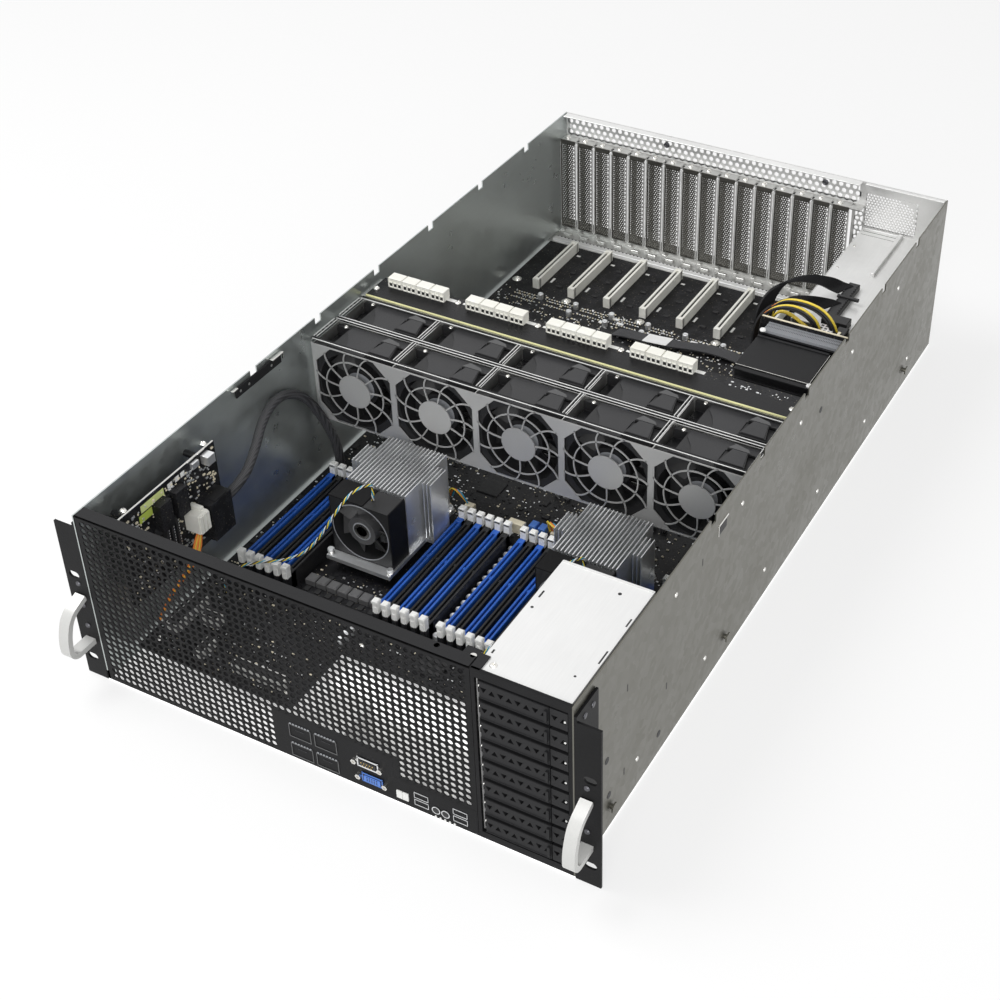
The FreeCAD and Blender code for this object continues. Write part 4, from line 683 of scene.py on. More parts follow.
# %% [markdown]
# Each drive tray has a bright rivet where its lever turns and a small light, and the lever a raised rim. The
# cage round the trays is pale sheet with a screw, tooling holes, slots and folded edges on its top.
# %% Drive bay details
FIRST_TRAY, TRAY_PITCH = 18, 20
for k in range(8):
    height = FIRST_TRAY + TRAY_PITCH * k
    round_piece(f"tray_rivet_{k + 1}", [(142.9, -396, height)], ((1.05, 0), (1.05, 1.2), (0.6, 1.7)), 14,
                screw_metal, "f", f"tray_{k + 1}")
    boxes(f"lever_rim_{k + 1}", [(172.35, -400.2, height + 7.2, 55, 0.6, 0.7),
                                 (172.35, -400.2, height - 7.9, 55, 0.6, 0.7),
                                 (198.6, -400.9, height - 5, 2.4, 2.0, 10)], 0.25, charcoal, f"lever_{k + 1}")
    round_piece(f"tray_light_{k + 1}", [(213.2, FACE, height)], ((0.9, 0), (0.8, 0.4), (0.4, 0.6)), 12,
                pale_plastic, "f", f"tray_{k + 1}")
TOP = 173.8
tool_holes = [(195, -282.4, 1.5), (145.2, -324.4, 1.2), (206, -372, 1.0)]
piece("cage_tool_holes", [turned([(x, y, TOP)], ((r, 0), (r, 0.06)), 20) for x, y, r in tool_holes],
      chip_black)
boxes("cage_slots", [(144.4, -309, TOP, 1.5, 8, 0.06), (143.6, -377, TOP, 1.5, 4, 0.06),
                     (214.7, -346.7, TOP, 1.3, 14, 0.06), (214.7, -307, TOP, 1.3, 9, 0.06)], 0.01, chip_black)
screws("cage_screws", [(151, -389, TOP - 0.8)])
boxes("cage_folds", [(178.5, -269.4, 173.4, 74, 1.6, 1.5), (178.5, -396.6, 173.9, 60, 1.2, 0.5)], 0.3,
      bright_sheet)
print("holes in the cage's top", len(tool_holes))

# %% [markdown]
# The rack ears and their flanges have dark screws. Both side walls carry pressed slots; the right one also
# has holes, rivets and a small window with bright lips, and the left one a dark catch bracket.
# %% Ears and walls
round_piece("ear_screws", [(x, FACE, z) for x in (-230, 230) for z in (56, 78, 101)],
            ((2.4, 0), (2.4, 0.3), (1.6, 1.2)), 16, dark_screw, "f")
round_piece("flange_screws", [(222.4, y, z) for y in (-376, -388) for z in (14, 60, 118, 158)],
            ((2.6, 0), (2.4, 0.5), (1.6, 0.8)), 16, dark_screw, "x")
wall_slots = [(s * 220.02, y, z, 0.12, 1.4, 7) for s in (-1, 1)
              for y, z in ((-322, 34), (-318, 118), (-250, 60), (-190, 140))]
boxes("wall_slots", wall_slots, 0.01, chip_black)
wall_holes = [(220.05, -350.3, 75.9), (220.05, -346.7, 35.9), (220.05, -262, 22), (220.05, 60, 130)]
round_piece("wall_holes", wall_holes, ((3.1, 0), (3.1, 0.12)), 20, chip_black, "x")
boxes("wall_window", [(219.98, -153, 148, 0.2, 15, 10)], 0.02, chip_black)
boxes("wall_window_lips", [(220.1, -153, 158.4, 1.6, 18, 1.4), (220.1, -161.6, 148, 1.0, 1.2, 10),
                           (219.2, -136, 166, 1.4, 12, 8.8)], 0.3, screw_metal)
boxes("wall_catch", [(-217.4, -168, 161, 1.4, 64, 9.6)], 0.4, charcoal)
boxes("wall_catch_lips", [(-216.4, -142, 170.4, 3.6, 16, 1.2), (-216.4, -202, 170.6, 3.0, 7, 1.2),
                          (-216.4, -133.6, 164, 1.2, 1.2, 7)], 0.3, screw_metal)
round_piece("wall_catch_holes", [(-216.65, y, 165.6) for y in (-194, -182, -150)], ((1.3, 0), (1.3, 0.08)),
            14, zinc_sheet, "x")
wall_dots = [(220, -300 + 62 * k, 30 + 118 * (k % 2)) for k in range(11)]
round_piece("wall_rivets", wall_dots, ((2.2, 0), (2.0, 0.5), (1.2, 0.8)), 16, screw_metal, "x")
print("wall slots", len(wall_slots), "rivets", len(wall_dots))

# %% [markdown]
# Four banks of six memory sockets, blue and black in turn. A socket is two thin walls with end towers and
# an off-centre key; each end has a white latch with a thumb tab, and its foot is painted dark as shade.
# %% Memory sockets
MAIN, MEMORY_Y, MEMORY_PITCH = 12.0, -181, 9.4
BANKS = (-168.0, -27.0, 37.0, 178.0)
middles = np.array([bank + MEMORY_PITCH * (k - 2.5) for bank in BANKS for k in range(6)])


def sockets(xs):
    """Rows for bricks: two walls, a floor, two end blocks and a key for every socket."""
    rows = []
    for x in xs:
        rows += [(x + aside, MEMORY_Y, MAIN, 2.2, 133, height)
                 for aside, height in ((-2.1, 18), (2.1, 18), (0, 9))]
        rows += [(x, -244.7, MAIN, 6.4, 5.6, 18.4), (x, -117.3, MAIN, 6.4, 5.6, 18.4),
                 (x, -171, MAIN, 2.2, 3, 17)]
    return rows


blue_rows = boxes("memory_sockets_blue", sockets(middles[0::2]), 0.35, blue_plastic)
boxes("memory_sockets_black", sockets(middles[1::2]), 0.35, black_plastic)
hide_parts("memory_sockets")
for body, y, s in (("front_latches", -250.7, -1), ("rear_latches", -111.3, 1)):
    piece(f"{body}_tabs", [bricks([(x, y + s * 0.4, 37.5, 6.2, 6.2, 3.2) for x in middles], 0.8),
                           bricks([(x, y + s * 2.6, 20, 3.0, 1.6, 14) for x in middles], 0.4)], latch_white_painted_shade,
          body)
contacts = [(x + s * 0.75, MEMORY_Y + 2.6 * k, 21.2, 0.35, 1.1, 6.5) for x in middles for s in (-1, 1)
            for k in range(-23, 24) if k != 4]
boxes("memory_contacts", contacts, 0.05, dark_screw)
print("sockets", len(middles))

# %% [markdown]
# A board is crowded with small parts. Their places come from a seeded draw over a zone, in rows and with a
# gap to everything large, so that they look laid out and not strewn.
# %% Parts on boards


def scatter(zone, z, blocked, count, sizes, grid=3.4, gap=2):
    """Rows for bricks on a lattice inside a zone, clear of the blocked rectangles (x0, x1, y0, y1)."""
    x0, x1, y0, y1 = zone
    u = np.arange(x0, x1, grid)[rng.integers(0, int((x1 - x0) / grid), count)]
    v = np.arange(y0, y1, grid)[rng.integers(0, int((y1 - y0) / grid), count)]
    cells = np.unique(np.column_stack((u, v)), axis=0)
    keep = np.ones(len(cells), bool)
    for a, b, c, d in blocked:
        beside = (cells[:, 0] > a - gap) & (cells[:, 0] < b + gap)
        keep &= ~(beside & (cells[:, 1] > c - gap) & (cells[:, 1] < d + gap))
    cells = cells[keep]
    picked = np.array(sizes)[rng.integers(0, len(sizes), len(cells))]
    return np.column_stack((cells, np.full(len(cells), z), picked))


def cans(places, radius, height):
    """Aluminium capacitors: a sleeve and a top with a cross-shaped vent."""
    profile = ((radius, 0), (radius, height - 0.5), (radius - 0.4, height), (radius * 0.7, height),
               (radius * 0.6, height - 0.25, 1))
    return turned(places, profile, 20, lobes=0.3)


COOLERS = (-97.5, 107.5)
busy = [(-131, -64, -213, -101), (74, 141, -213, -101)] + [(b - 29, b + 29, -255, -106) for b in BANKS]
chips = [(18, -272, MAIN, 24, 24, 3.2), (-120, -300, MAIN, 15, 15, 1.6), (-60, -44, MAIN, 22, 22, 1.4),
         (60, -48, MAIN, 14, 20, 1.4), (150, -50, MAIN, 18, 18, 1.4), (-160, -60, MAIN, 12, 16, 1.4),
         (96, -272, MAIN, 14, 14, 1.4), (-180, -335, MAIN, 20, 14, 1.6)]
busy += [(x - w / 2, x + w / 2, y - d / 2, y + d / 2) for x, y, z, w, d, h in chips]
chokes = [(cpu + 11.2 * (k - 3), -232, MAIN, 10, 10, 6.5) for cpu in COOLERS for k in range(7)]
chokes += [(20 + 12 * k, -78, MAIN, 10, 10, 6.5) for k in range(4)]
busy += [(-136, -62, -240, -225), (70, 140, -240, -225), (14, 64, -84, -72)]
switches = [(x, y - 9.5, MAIN, 5, 6, 1.1) for x, y, *rest in chokes[:14]]
switches += [(x + 4, y - 17, MAIN, 4, 4, 1) for x, y, *rest in chokes[:14]]
busy += [(-136, -62, -255, -240), (70, 140, -255, -240)]
SMALL = [(1.6, 0.9, 0.6), (0.9, 1.6, 0.6), (2.4, 1.4, 0.9), (1.2, 0.7, 0.5)]
zones = (((-212, -62, -362, -12), 1500), ((-58, 132, -287, -12), 1400), ((136, 212, -262, -12), 420))
tiny = np.concatenate([scatter(zone, MAIN, busy, count, SMALL) for zone, count in zones])
tiny = tiny[rng.permutation(len(tiny))]
half = len(tiny) // 3
piece("main_chips", [bricks(chips, 0.4), bricks(switches, 0.2),
                     bricks(scatter((-210, 128, -284, -20), MAIN, busy, 90,
                                    [(5, 4, 1), (7, 5, 1.2), (4, 8, 1.1)], 9.0), 0.2)], chip_black)
boxes("main_chokes", chokes, 1.1, choke_grey)
boxes("main_resistors", tiny[:half], 0.1, chip_black)
boxes("main_capacitors", tiny[half:2 * half], 0.1, cream)
boxes("main_solder", tiny[2 * half:], 0.1, fin_metal)
rows = [(5, -246 + 9 * k, MAIN) for k in range(15)] + [(-64, -262 - 8.6 * k, MAIN) for k in range(4)]
rows += [(x, -24, MAIN) for x in (-196, -186, -110, -100, 0, 10, 100, 110, 190)]
rows += [(66 + 9 * k, -270, MAIN) for k in range(6)]
piece("main_cans", [cans(rows, 3.3, 8.5)], fin_metal, smooth=True)
plugs = [(-200, -318, MAIN, 12, 46, 9), (-176, -316, MAIN, 18, 9, 11), (-100, -350, MAIN, 52, 9, 10),
         (122, -264, MAIN, 9, 34, 9), (-160, -345, MAIN, 9, 22, 8)]
boxes("main_sockets", plugs, 0.5, pale_plastic)
boxes("main_socket_wells", [(x, y, z + h, w - 3, d - 3, 0.06) for x, y, z, w, d, h in plugs], 0.02,
      chip_black)
screws("main_screws", [(x, y, MAIN) for x in (-202, -30, 60, 202) for y in (-98, -20)]
       + [(-204, -352, MAIN), (-72, -356, MAIN), (-48, -280, MAIN), (124, -284, MAIN)])
print("small parts on the main board", len(tiny))

# %% [markdown]
# The two coolers: a round badge on each fan's hub, which turns with it, and spring screws at the corners of
# the base. Behind them stand the fan headers with their thin wires.
# %% Coolers
HUB_Z = 59.0
for k, cpu in enumerate(COOLERS, start=1):
    hub = (cpu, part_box(f"cooler_rotor_{k}")[0][1] * 1000 + 0.4, HUB_Z)
    round_piece(f"cooler_badge_{k}", [hub], ((9.6, 0), (9.6, 0.3), (9.0, 0.5), (0.01, 0.5)), 32, grey_plastic,
                "f", f"cooler_spinner_{k}", smooth=True)
    round_piece(f"cooler_ring_{k}", [hub], ((8.0, 0.5), (8.0, 0.62), (5.4, 0.62), (5.4, 0.5)), 32,
                screw_metal, "f", f"cooler_spinner_{k}", smooth=True)
corners = [(cpu + a * 31, y, 28.1) for cpu in COOLERS for a in (-1, 1) for y in (-206.5, -107.5)]
screws("cooler_screws", corners, smooth=True)
springs = [(x, y, z + 2.0 + 1.1 * n) for x, y, z in corners for n in range(3)]
round_piece("cooler_springs", springs, ((2.6, 0), (3.0, 0.35), (2.6, 0.7)), 16, fin_metal)
boxes("pale_headers", [(-8, -88, 12, 16, 7, 11), (36, -83, 12, 20, 8, 10), (-60, -84, 12, 9, 6, 9)], 0.6,
      cream)
boxes("blue_headers", [(8 + 9.5 * k, -84, 12, 7, 9, 12) for k in (0, 1)], 0.6, video_blue)
boxes("red_header", [(47, -83, 14, 5, 7, 9)], 0.5, orange_wire)
for k, tint in enumerate((yellow_wire, orange_wire, blue_wire)):
    wire(f"header_wire_{k + 1}", [(24 + 3 * k, -83, 20), (22 + 3 * k, -86, 34), (28 + 3 * k, -92, 38),
                                  (40 + 3 * k, -94, 32), (52 + 2 * k, -90, 22)], 0.9, tint)
    wire(f"far_wire_{k + 1}", [(-86 + 2.4 * k, -80, 20), (-82 + 2.4 * k, -83, 32), (-72 + 2.4 * k, -86, 34),
                               (-62, -85, 22)], 0.8, tint)
print("coolers", len(COOLERS))

# %% [markdown]
# The guard is one painted sheet. Each opening is an octagon; from a round hub plate eleven wires run through
# a ring and swing aside as they reach the edge: angle = start - 11 degrees * (share of the way) cubed.
# %% Fan guard
LEFT, FAN_PITCH, GUARD_Y, GUARD_Z = -174.0, 86, -90.05, 114.0
GUARD_HALF, GUARD_CUT = 40.0, 17.0


def edge_of_octagon(angle):
    """Distance from an opening's middle to its edge: the smaller of half / larger of |cos| and |sin|, for
    the straight sides, and (2 * half - cut) / (|cos| + |sin|), for the cut corners."""
    c, s = np.abs(np.cos(angle)), np.abs(np.sin(angle))
    return np.minimum(GUARD_HALF / np.maximum(np.maximum(c, s), 1e-9), (2 * GUARD_HALF - GUARD_CUT) / (c + s))


def strip(inner, outer, closed=False):
    """A band of four-sided faces between two rows of (x, z) points."""
    flat = np.concatenate((inner, outer))
    n = len(inner)
    i = np.arange(n if closed else n - 1)
    j = (i + 1) % n
    return np.column_stack((flat[:, 0], np.zeros(2 * n), flat[:, 1])), [np.column_stack((i, j, j + n, i + n))]


def round_points(angle):
    """Points on a circle of radius one: cosine and sine of each angle."""
    return np.column_stack((np.cos(angle), np.sin(angle)))


short = GUARD_HALF - GUARD_CUT
two_corners = np.arctan2((short, GUARD_HALF), (GUARD_HALF, short))
corner_angles = np.sort(np.concatenate([quarter * math.pi / 2 + two_corners for quarter in range(4)]))
octagon = edge_of_octagon(corner_angles)[:, None] * round_points(corner_angles)
tile_edge = np.column_stack((np.sign(octagon[:, 0]) * 43.0, np.sign(octagon[:, 1]) * 41.0))
circle = round_points(np.linspace(0, math.tau, 48, endpoint=False))
units = [strip(octagon, tile_edge, True), strip(0.01 * circle, 17 * circle, True),
         strip(30.4 * circle, 31.6 * circle, True)]
GUARD_WIRES = 11
share = np.linspace(0, 1, 12)
for k in range(GUARD_WIRES):
    start = math.tau * k / GUARD_WIRES + 0.2
    end_at = edge_of_octagon(np.array([start - 0.19]))[0] + 1.0
    radius = 16.5 + share * (end_at - 16.5)
    turn = start - math.radians(11) * share ** 3
    line = radius[:, None] * round_points(turn)
    aside = np.gradient(line, axis=0)
    aside = np.column_stack((-aside[:, 1], aside[:, 0])) / np.linalg.norm(aside, axis=1)[:, None]
    units.append(strip(line + 0.62 * aside, line - 0.62 * aside))
places = [(LEFT + FAN_PITCH * k, GUARD_Y, GUARD_Z) for k in range(5)]
guard = piece("guard_sheet", [tiled(unit, tables, places) for unit, tables in units]
              + [panes((-218.6, -217), (73, 155), GUARD_Y, []), panes((213, 218.6), (73, 155), GUARD_Y, [])],
              guard_light)
thicken(guard, 1.0)
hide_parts("fan_guard")
front_of_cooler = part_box("cooler_fan_frames")[0][1] * 1000 - 0.25
# painted highlight: a light grey ring on the rim of each cooler fan's opening in the black frame.
thicken(piece("cooler_mouth_highlights",
              [tiled(*strip(28.4 * circle, 29.2 * circle, True),
                     [(cpu, front_of_cooler, HUB_Z) for cpu in COOLERS])], grey_plastic), 0.4)
thicken(piece("button_rings",
              [tiled(*strip(3.0 * circle, 3.7 * circle, True), [(x, FACE - 0.4, 10) for x in (101, 109.4)])],
              fin_metal), 0.5)
print("guard wires", GUARD_WIRES * len(places))

# %% [markdown]
# From above, each fan shows the flat top of its holder, a dark corner with one screw, and a wedge-shaped
# latch. The corner's well has a floor sheet of painted shade, and the latch a lighter facet of painted
# highlight. Dark strips with bright edges of painted highlight run along the three rows of sheet, and double
# lines divide the columns.
# %% Top of the fan wall
fans = [(LEFT + FAN_PITCH * k, y) for k in range(5) for y in (-70.0, -26.0)]
TOP_OF_FAN = 154.05


def slabs(outline, low, high, places):
    """A flat outline with straight sides, copied to many places."""
    outline = np.array(outline, float)
    count = len(outline)
    unit = np.concatenate([np.column_stack((outline, np.full(count, z))) for z in (low, high)])
    i = np.arange(count)
    sides = np.column_stack((i, (i + 1) % count, (i + 1) % count + count, i + count))
    return tiled(unit, [sides, [i + count], [i[::-1]]], places)


spots = [(x, y, 0) for x, y in fans]
holder = ((-8, -18.6), (12, -18.6), (12, 6.6), (39.6, 6.6), (39.6, 18.6), (-24, 18.6), (-24, 9), (-17, 0),
          (-13, -8), (-11, -14))
piece("fan_holders", [slabs(holder, TOP_OF_FAN, TOP_OF_FAN + 0.9, spots)], holder_grey)
wedge = ((15.5, -14.5), (36.5, -14.5), (32.5, 4.5), (19.5, 4.5))
piece("fan_latch_tops", [slabs(wedge, 159.05, 159.6, spots)], holder_grey)
# painted highlight: the facet is a lighter grey than the latch's top, for the light on it.
piece("fan_latch_lit_facets", [slabs(((14.5, 7), (18.5, 14), (31, 11), (34, 7)), 155, 158.2, spots)], latch_grey)
piece("fan_frame_arcs",
      [slabs(((-30, -17), (-12, -17), (-16, -12), (-23, -12.5)), TOP_OF_FAN, TOP_OF_FAN + 0.5, spots)],
      black_plastic)
front_wing = ((13.6, -17.0), (38.6, -17.0), (38.6, -15), (13.6, -15))
rear_wing = ((13.6, 6.6), (38.6, 6.6), (38.6, 7.6), (13.6, 7.6))
piece("fan_latch_wings", [slabs(front_wing, TOP_OF_FAN, 158, spots),
                          slabs(rear_wing, TOP_OF_FAN, 157, spots)], black_plastic)
small_screw = [(radius * 0.7, *rest) for radius, *rest in SCREW]
round_piece("fan_screws", [(x - 31, y + 16.6, TOP_OF_FAN - 1) for x, y in fans], small_screw, 20, screw_metal,
            smooth=True, lobes=0.35)
# painted shade: a gloss-black sheet on the floor of each corner well.
wells = [(x - 32.9, y - 0.5, 145.1, 13.6, 28.6, 0.1) for x, y in fans]
boxes("fan_corner_shade_wells", wells, 0.02, gloss_black)
STRIP = 158.45
strips = [(0, y, STRIP, 435, width, 0.25) for y, width in ((-87.2, 3.4), (-48, 5.0), (-8.6, 4.4))]
boxes("wall_strips", strips, 0.1, charcoal)
# painted highlight: bright lines along the edges of the dark strips.
edges = [(0, y, STRIP + 0.1, 435, 0.8, 0.5) for y in (-88.6, -50.3, -46.6, -10.6)]
boxes("wall_edge_highlights", edges, 0.1, satin_bow)
dividers = [LEFT + FAN_PITCH * (k - 0.5) for k in range(6)]
lines = [(x + s * 1.5, y, STRIP + 0.1, 0.8, 33, 0.5) for x in dividers for s in (-1, 1) for y in (-68.3, -28)]
boxes("wall_dividers", lines, 0.1, satin_bow)
combs = [(x, -85 + 6.4 * n, STRIP, 1.4, 3.0, 0.4) for x in dividers for n in range(12)]
boxes("wall_divider_slots", combs, 0.1, chip_black)
for k in range(5):
    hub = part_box(f"fan_rotors_{k + 1}")[0]
    round_piece(f"rotor_badge_{k + 1}", [(LEFT + FAN_PITCH * k, hub[1] * 1000 - 0.02, GUARD_Z)],
                ((15, 0), (15, 0.1), (13, 0.2)), 28, grey_plastic, "f", f"fan_pair_{k + 1}", smooth=True)
print("fans", len(fans))

# %% [markdown]
# The power board lies flat behind the fans. Its front half is a bare black band with a gilded front edge;
# behind it stand four groups of four plugs with dark wells, a screw and a printed field between groups.
# %% Power board
POWER = 160.02
boxes("power_band", [(0, 5.6, POWER, 431, 20.4, 0.2)], 0.05, gloss_black)
boxes("power_gilt", [(0, -4.6, POWER - 1.2, 431, 1.0, 1.5)], 0.1, gilt_line)
GROUP_PITCH, PLUG_PITCH = 85.5, 15.6
groups = [-196.4 + GROUP_PITCH * g for g in range(4)]
plug_x = np.array([x + PLUG_PITCH * k for x in groups for k in range(4)])
bodies = [(x, 22.0, 160, 14.6, 10.0, 10.5) for x in plug_x]
lips = [(x + 4.7 * n, 16.7, 160.4, 1.0, 1.0, 9.6) for x in plug_x for n in (-1.5, -0.5, 0.5, 1.5)]
ledges = [(x, 16.7, z, 14.6, 1.0, 1.0) for x in plug_x for z in (160.2, 165.2, 169.4)]
plug_shells = piece("power_plug_shells", [bricks(bodies, 0.3), bricks(ledges, 0.15), bricks(lips, 0.15)],
                    ivory)
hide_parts("power_plugs")
boxes("power_plug_wells", [(x + 4.7 * n, 16.9, 161.6, 2.9, 0.4, 3.0) for x in plug_x for n in (-1, 0, 1)],
      0.1, chip_black)
between = [(x + 66.5, 21.5, POWER) for x in groups[:3]] + [(-212, 8, POWER), (212, 8, POWER)]
screws("power_screws", between, smooth=True)
fields = [(x + 58.5, 23.5, POWER, 9, 4.5, 0.08) for x in groups]
fields += [(x + 74, 23.5, POWER, 6, 3, 0.08) for x in groups[:3]]
boxes("power_print", fields, 0.02, white_ink)
boxes("power_parts", scatter((150, 212, 17, 27), POWER, [], 24, SMALL, 2.6), 0.1, fin_metal)
print("power plugs", len(plug_x))

# %% [markdown]
# The card board carries eight long slots. In front of every second one sits a screw on its ring, right of
# each is a printed field, and small parts fill the front in rows. A flat woven cable crosses it.
# %% Card board
CARD = 36.02
SLOT_PITCH, COVER_PITCH = 43, 21.5
slots = np.array([-180 + SLOT_PITCH * k for k in range(8)])
walls = [(x + s * 2.45, 300, 36, 2.6, 87.4, 11.6) for x in slots for s in (-1, 1)]
walls += [(x, y, 36, 7.5, 4.4, 11.9) for x in slots for y in (256.2, 343.8)]
walls += [(x, 300, 36, 2.2, 87.2, 6) for x in slots]
slot_shells = boxes("card_slot_shells", walls, 0.3, ivory)
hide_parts("card_slots")
fingers = [(x + s * 0.85, 262 + 2.4 * n, 42, 0.4, 1.0, 4.6) for x in slots for s in (-1, 1)
           for n in range(33)]
boxes("card_slot_contacts", fingers, 0.05, dark_screw)
boxes("card_slot_feet", [(x, 346.8, 36, 5.0, 1.6, 8) for x in slots], 0.3, white_plastic)
screw_spots = [(-138, 246), (-50, 246), (38, 246), (-208, 262), (112, 246), (-208, 150), (-60, 128),
               (96, 150)]
ringed = ((5.2, 0), (5.2, 0.1), (3.4, 0.12), (3.4, 1.3), (2.6, 2.0), (1.5, 2.1, 1), (1.0, 1.2, 1))
round_piece("card_screws", [(x, y, CARD) for x, y in screw_spots], ringed, 20, screw_metal, smooth=True,
            lobes=0.35)
print_marks = [(x + 8.5, 277, CARD, 2.6, 9.5, 0.07) for x in slots]
print_marks += [(x + 9, 336, CARD, 4.6, 3, 0.07) for x in slots]
draw = scatter((-212, 128, 130, 248), CARD, [], 150, [(3.4, 0.7, 0.06), (0.7, 3.4, 0.06), (2.2, 2.2, 0.06)],
               5.2)
piece("card_print", [bricks(print_marks, 0.02), bricks(draw, 0.02)], white_ink)
taken = [(x - 5, x + 5, 252, 350) for x in slots] + [(x - 6, x + 6, y - 6, y + 6) for x, y in screw_spots]
card_small = scatter((-212, 128, 44, 250), CARD, taken, 1700, SMALL, 3.1)
rows_of_small = [(-205 + 3.1 * n, y, CARD, 1.8, 1.0, 0.8) for n in range(104)
                 for y in (236, 240.5, 228.5) if n % 13 > 2]
piece("card_resistors", [bricks(card_small[::2], 0.1), bricks(rows_of_small[1::2], 0.1)], fin_metal)
piece("card_capacitors", [bricks(card_small[1::2], 0.1), bricks(rows_of_small[0::2], 0.1)], cream)
card_chips = [(-170, 205, CARD, 16, 16, 1.6), (-100, 180, CARD, 22, 22, 2.0), (-20, 160, CARD, 26, 26, 2.4),
              (52, 180, CARD, 22, 22, 2.0), (104, 200, CARD, 14, 14, 1.5), (-150, 110, CARD, 14, 20, 1.5)]
sips = [(x + 21.5, y, CARD, 6, 3.4, 1.2) for x in slots[:7] for y in (268, 300, 326)]
piece("card_chips", [bricks(card_chips, 0.4), bricks(sips, 0.2)], chip_black)
piece("card_cans", [cans([(x + 15, 238, CARD) for x in slots[:7]] + [(x + 15, 222, CARD) for x in slots[1:5]],
                         3.1, 6.5)], fin_metal, smooth=True)
ties = [(x, y, CARD, 8, 3.4, 0.9) for x, y in ((-74, 238), (-66, 232), (-84, 226), (18, 236), (26, 230))]
boxes("card_labels", ties, 0.2, white_plastic)


def curve(points, count):
    """Points along a smooth line through a few millimetre points, by Catmull-Rom sums."""
    points = np.array(points, float)
    ends = np.concatenate(([2 * points[0] - points[1]], points, [2 * points[-1] - points[-2]]))
    parts = []
    for k in range(len(points) - 1):
        a, b, c, d = ends[k:k + 4]
        t = np.linspace(0, 1, count, endpoint=k == len(points) - 2)[:, None]
        parts.append(0.5 * (2 * b + (c - a) * t + (2 * a - 5 * b + 4 * c - d) * t ** 2
                            + (3 * b - a - 3 * c + d) * t ** 3))
    return np.concatenate(parts)


def woven(tint):
    """A braid: two sets of stripes that cross at 45 degrees."""
    def formula(place):
        x, y = place.axis("X"), place.axis("Y") + place.axis("Z")
        one, two = ((x + s * y) * 2400 for s in (1, -1))
        knots = one.maths("SINE", one) * two.maths("SINE", two)
        return {"Base Color": knots.step(-0.4, 0.6).colour(shade(tint, 0.4), shade(tint, 2.6)),
                "Roughness": 0.5 + knots * 0.1, "Height": knots}
    return formula


braid = finish("braid", woven((0.035, 0.035, 0.038)), 0.0004)
flat_path = curve([(-62, 214, 38), (-44, 212, 41.5), (-22, 212, 42.5), (4, 215, 42.5), (32, 223, 41.5),
                   (60, 226, 40), (96, 222, 38)], 8)
piece("flat_cable", [ribbon(flat_path, 15, 1.6, (0.25, 0.97, 0))], braid)
piece("flat_cable_band", [ribbon(curve([(-26, 212, 43.6), (-14, 212.6, 43.9), (0, 214.6, 43.8)], 6), 15.6,
                                 0.5, (0.1, 0.99, 0))], white_plastic)
print("slots", len(slots))

# %% [markdown]
# The rear wall carries sixteen slot covers full of small holes. One cover is a honeycomb in a frame, worked
# out once and copied sixteen times; its bent tab lies on the shelf under a screw.
# %% Slot covers
SHELF = 148.0
covers = np.array([-209.6 + COVER_PITCH * k for k in range(16)])
places = [(x, 0, 0) for x in covers]
lattice, cells = honeycomb((-8.3, 8.6), (40.5, 145.5), 384, 2.85, 0.9)
frame_sheet, quads = panes((-9, 9), (36, 149), 384, [(-7.6, 7.9, 41.6, 143.6)])
# painted shade: the covers' sheet uses the dark zinc tint that stands for shade.
cover_sheet = piece("slot_cover_sheets", [tiled(lattice, cells, places), tiled(frame_sheet, quads, places)],
                    shaded_cover_metal)
thicken(cover_sheet, 0.9)
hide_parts("slot_covers")
tabs = [(x, 390, 148.05, 18, 11.6, 0.9) for x in covers] + [(x, 384.6, 143.8, 18, 1.1, 5.1) for x in covers]
boxes("slot_cover_tabs", tabs, 0.2, zinc_sheet)
boxes("slot_cover_edges", [(x + s * 9.35, 383.8, 38, 0.8, 1.6, 108) for x in covers for s in (-1, 1)], 0.2,
      pale_sheet)
boxes("slot_bars", [(x + 10.75, 386.5, 38, 2.0, 1.2, 108) for x in covers[:-1]], 0.3, pale_sheet)
screws("tab_screws", [(x - 3, 390.5, 148.9) for x in covers], smooth=True)
boxes("tab_notches", [(x + 10.6, 389, SHELF + 0.02, 2.0, 5, 0.05) for x in covers[:-1]], 0.01, chip_black)
print("covers", len(covers))

# %% [markdown]
# The rear panel keeps the windows of the solid model and gains its vent holes: a band over the shelf, a
# column beside the last cover, and a field of small holes over the supplies that ends in a quarter round.
# %% Rear panel
REAR = 398.85
cage_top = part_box("supply_cage")[1][2] * 1000
windows = [(x - 7.75, x + 7.75, 41, 143) for x in covers]
supply_window = (135.5, 217.3, 2.2, cage_top - 1)
band, field = (-214.4, 127.0, 151.5, 172.5), (135.5, 190.0, cage_top + 3.0, 163.0)
openings = windows + [supply_window, band, (124.2, 133.0, 61, 145), field]
round_corner = [(168 + 2.2 * k, 192, 141 + math.sqrt(22 ** 2 - (2.2 * k) ** 2), 164) for k in range(11)]
vents = [honeycomb((-217, 130.5), (149.8, 174.2), REAR, 7.6, 2.75),
         honeycomb((134.6, 191.5), (cage_top + 2.4, 163.6), REAR, 3.4, 1.25, round_corner),
         honeycomb((123.4, 133.8), (60, 146), REAR, 6.6, 2.3)]
rear_sheet = piece("rear_sheet", [panes((-INSIDE, INSIDE), (1.2, 175), REAR, openings)] + vents, pale_sheet)
thicken(rear_sheet, 1.1)
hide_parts("rear_panel")
boxes("rear_fold", [(-44, 393.6, 173.9, 347, 9.4, 1.0), (176, 396, 173.9, 84, 4.4, 1.0)], 0.2, pale_sheet)
round_piece("rear_dark_screws", [(-95, 398.7, 164), (89, 398.7, 164)],
            ((3.4, 0), (3.2, 1.2), (2.0, 1.7), (1.0, 0.9, 1)), 20, dark_screw, "f", lobes=0.35)
boxes("rail_bar", [(-41, 357.6, 36.05, 346, 6.6, 3.0)], 0.4, satin_bow)
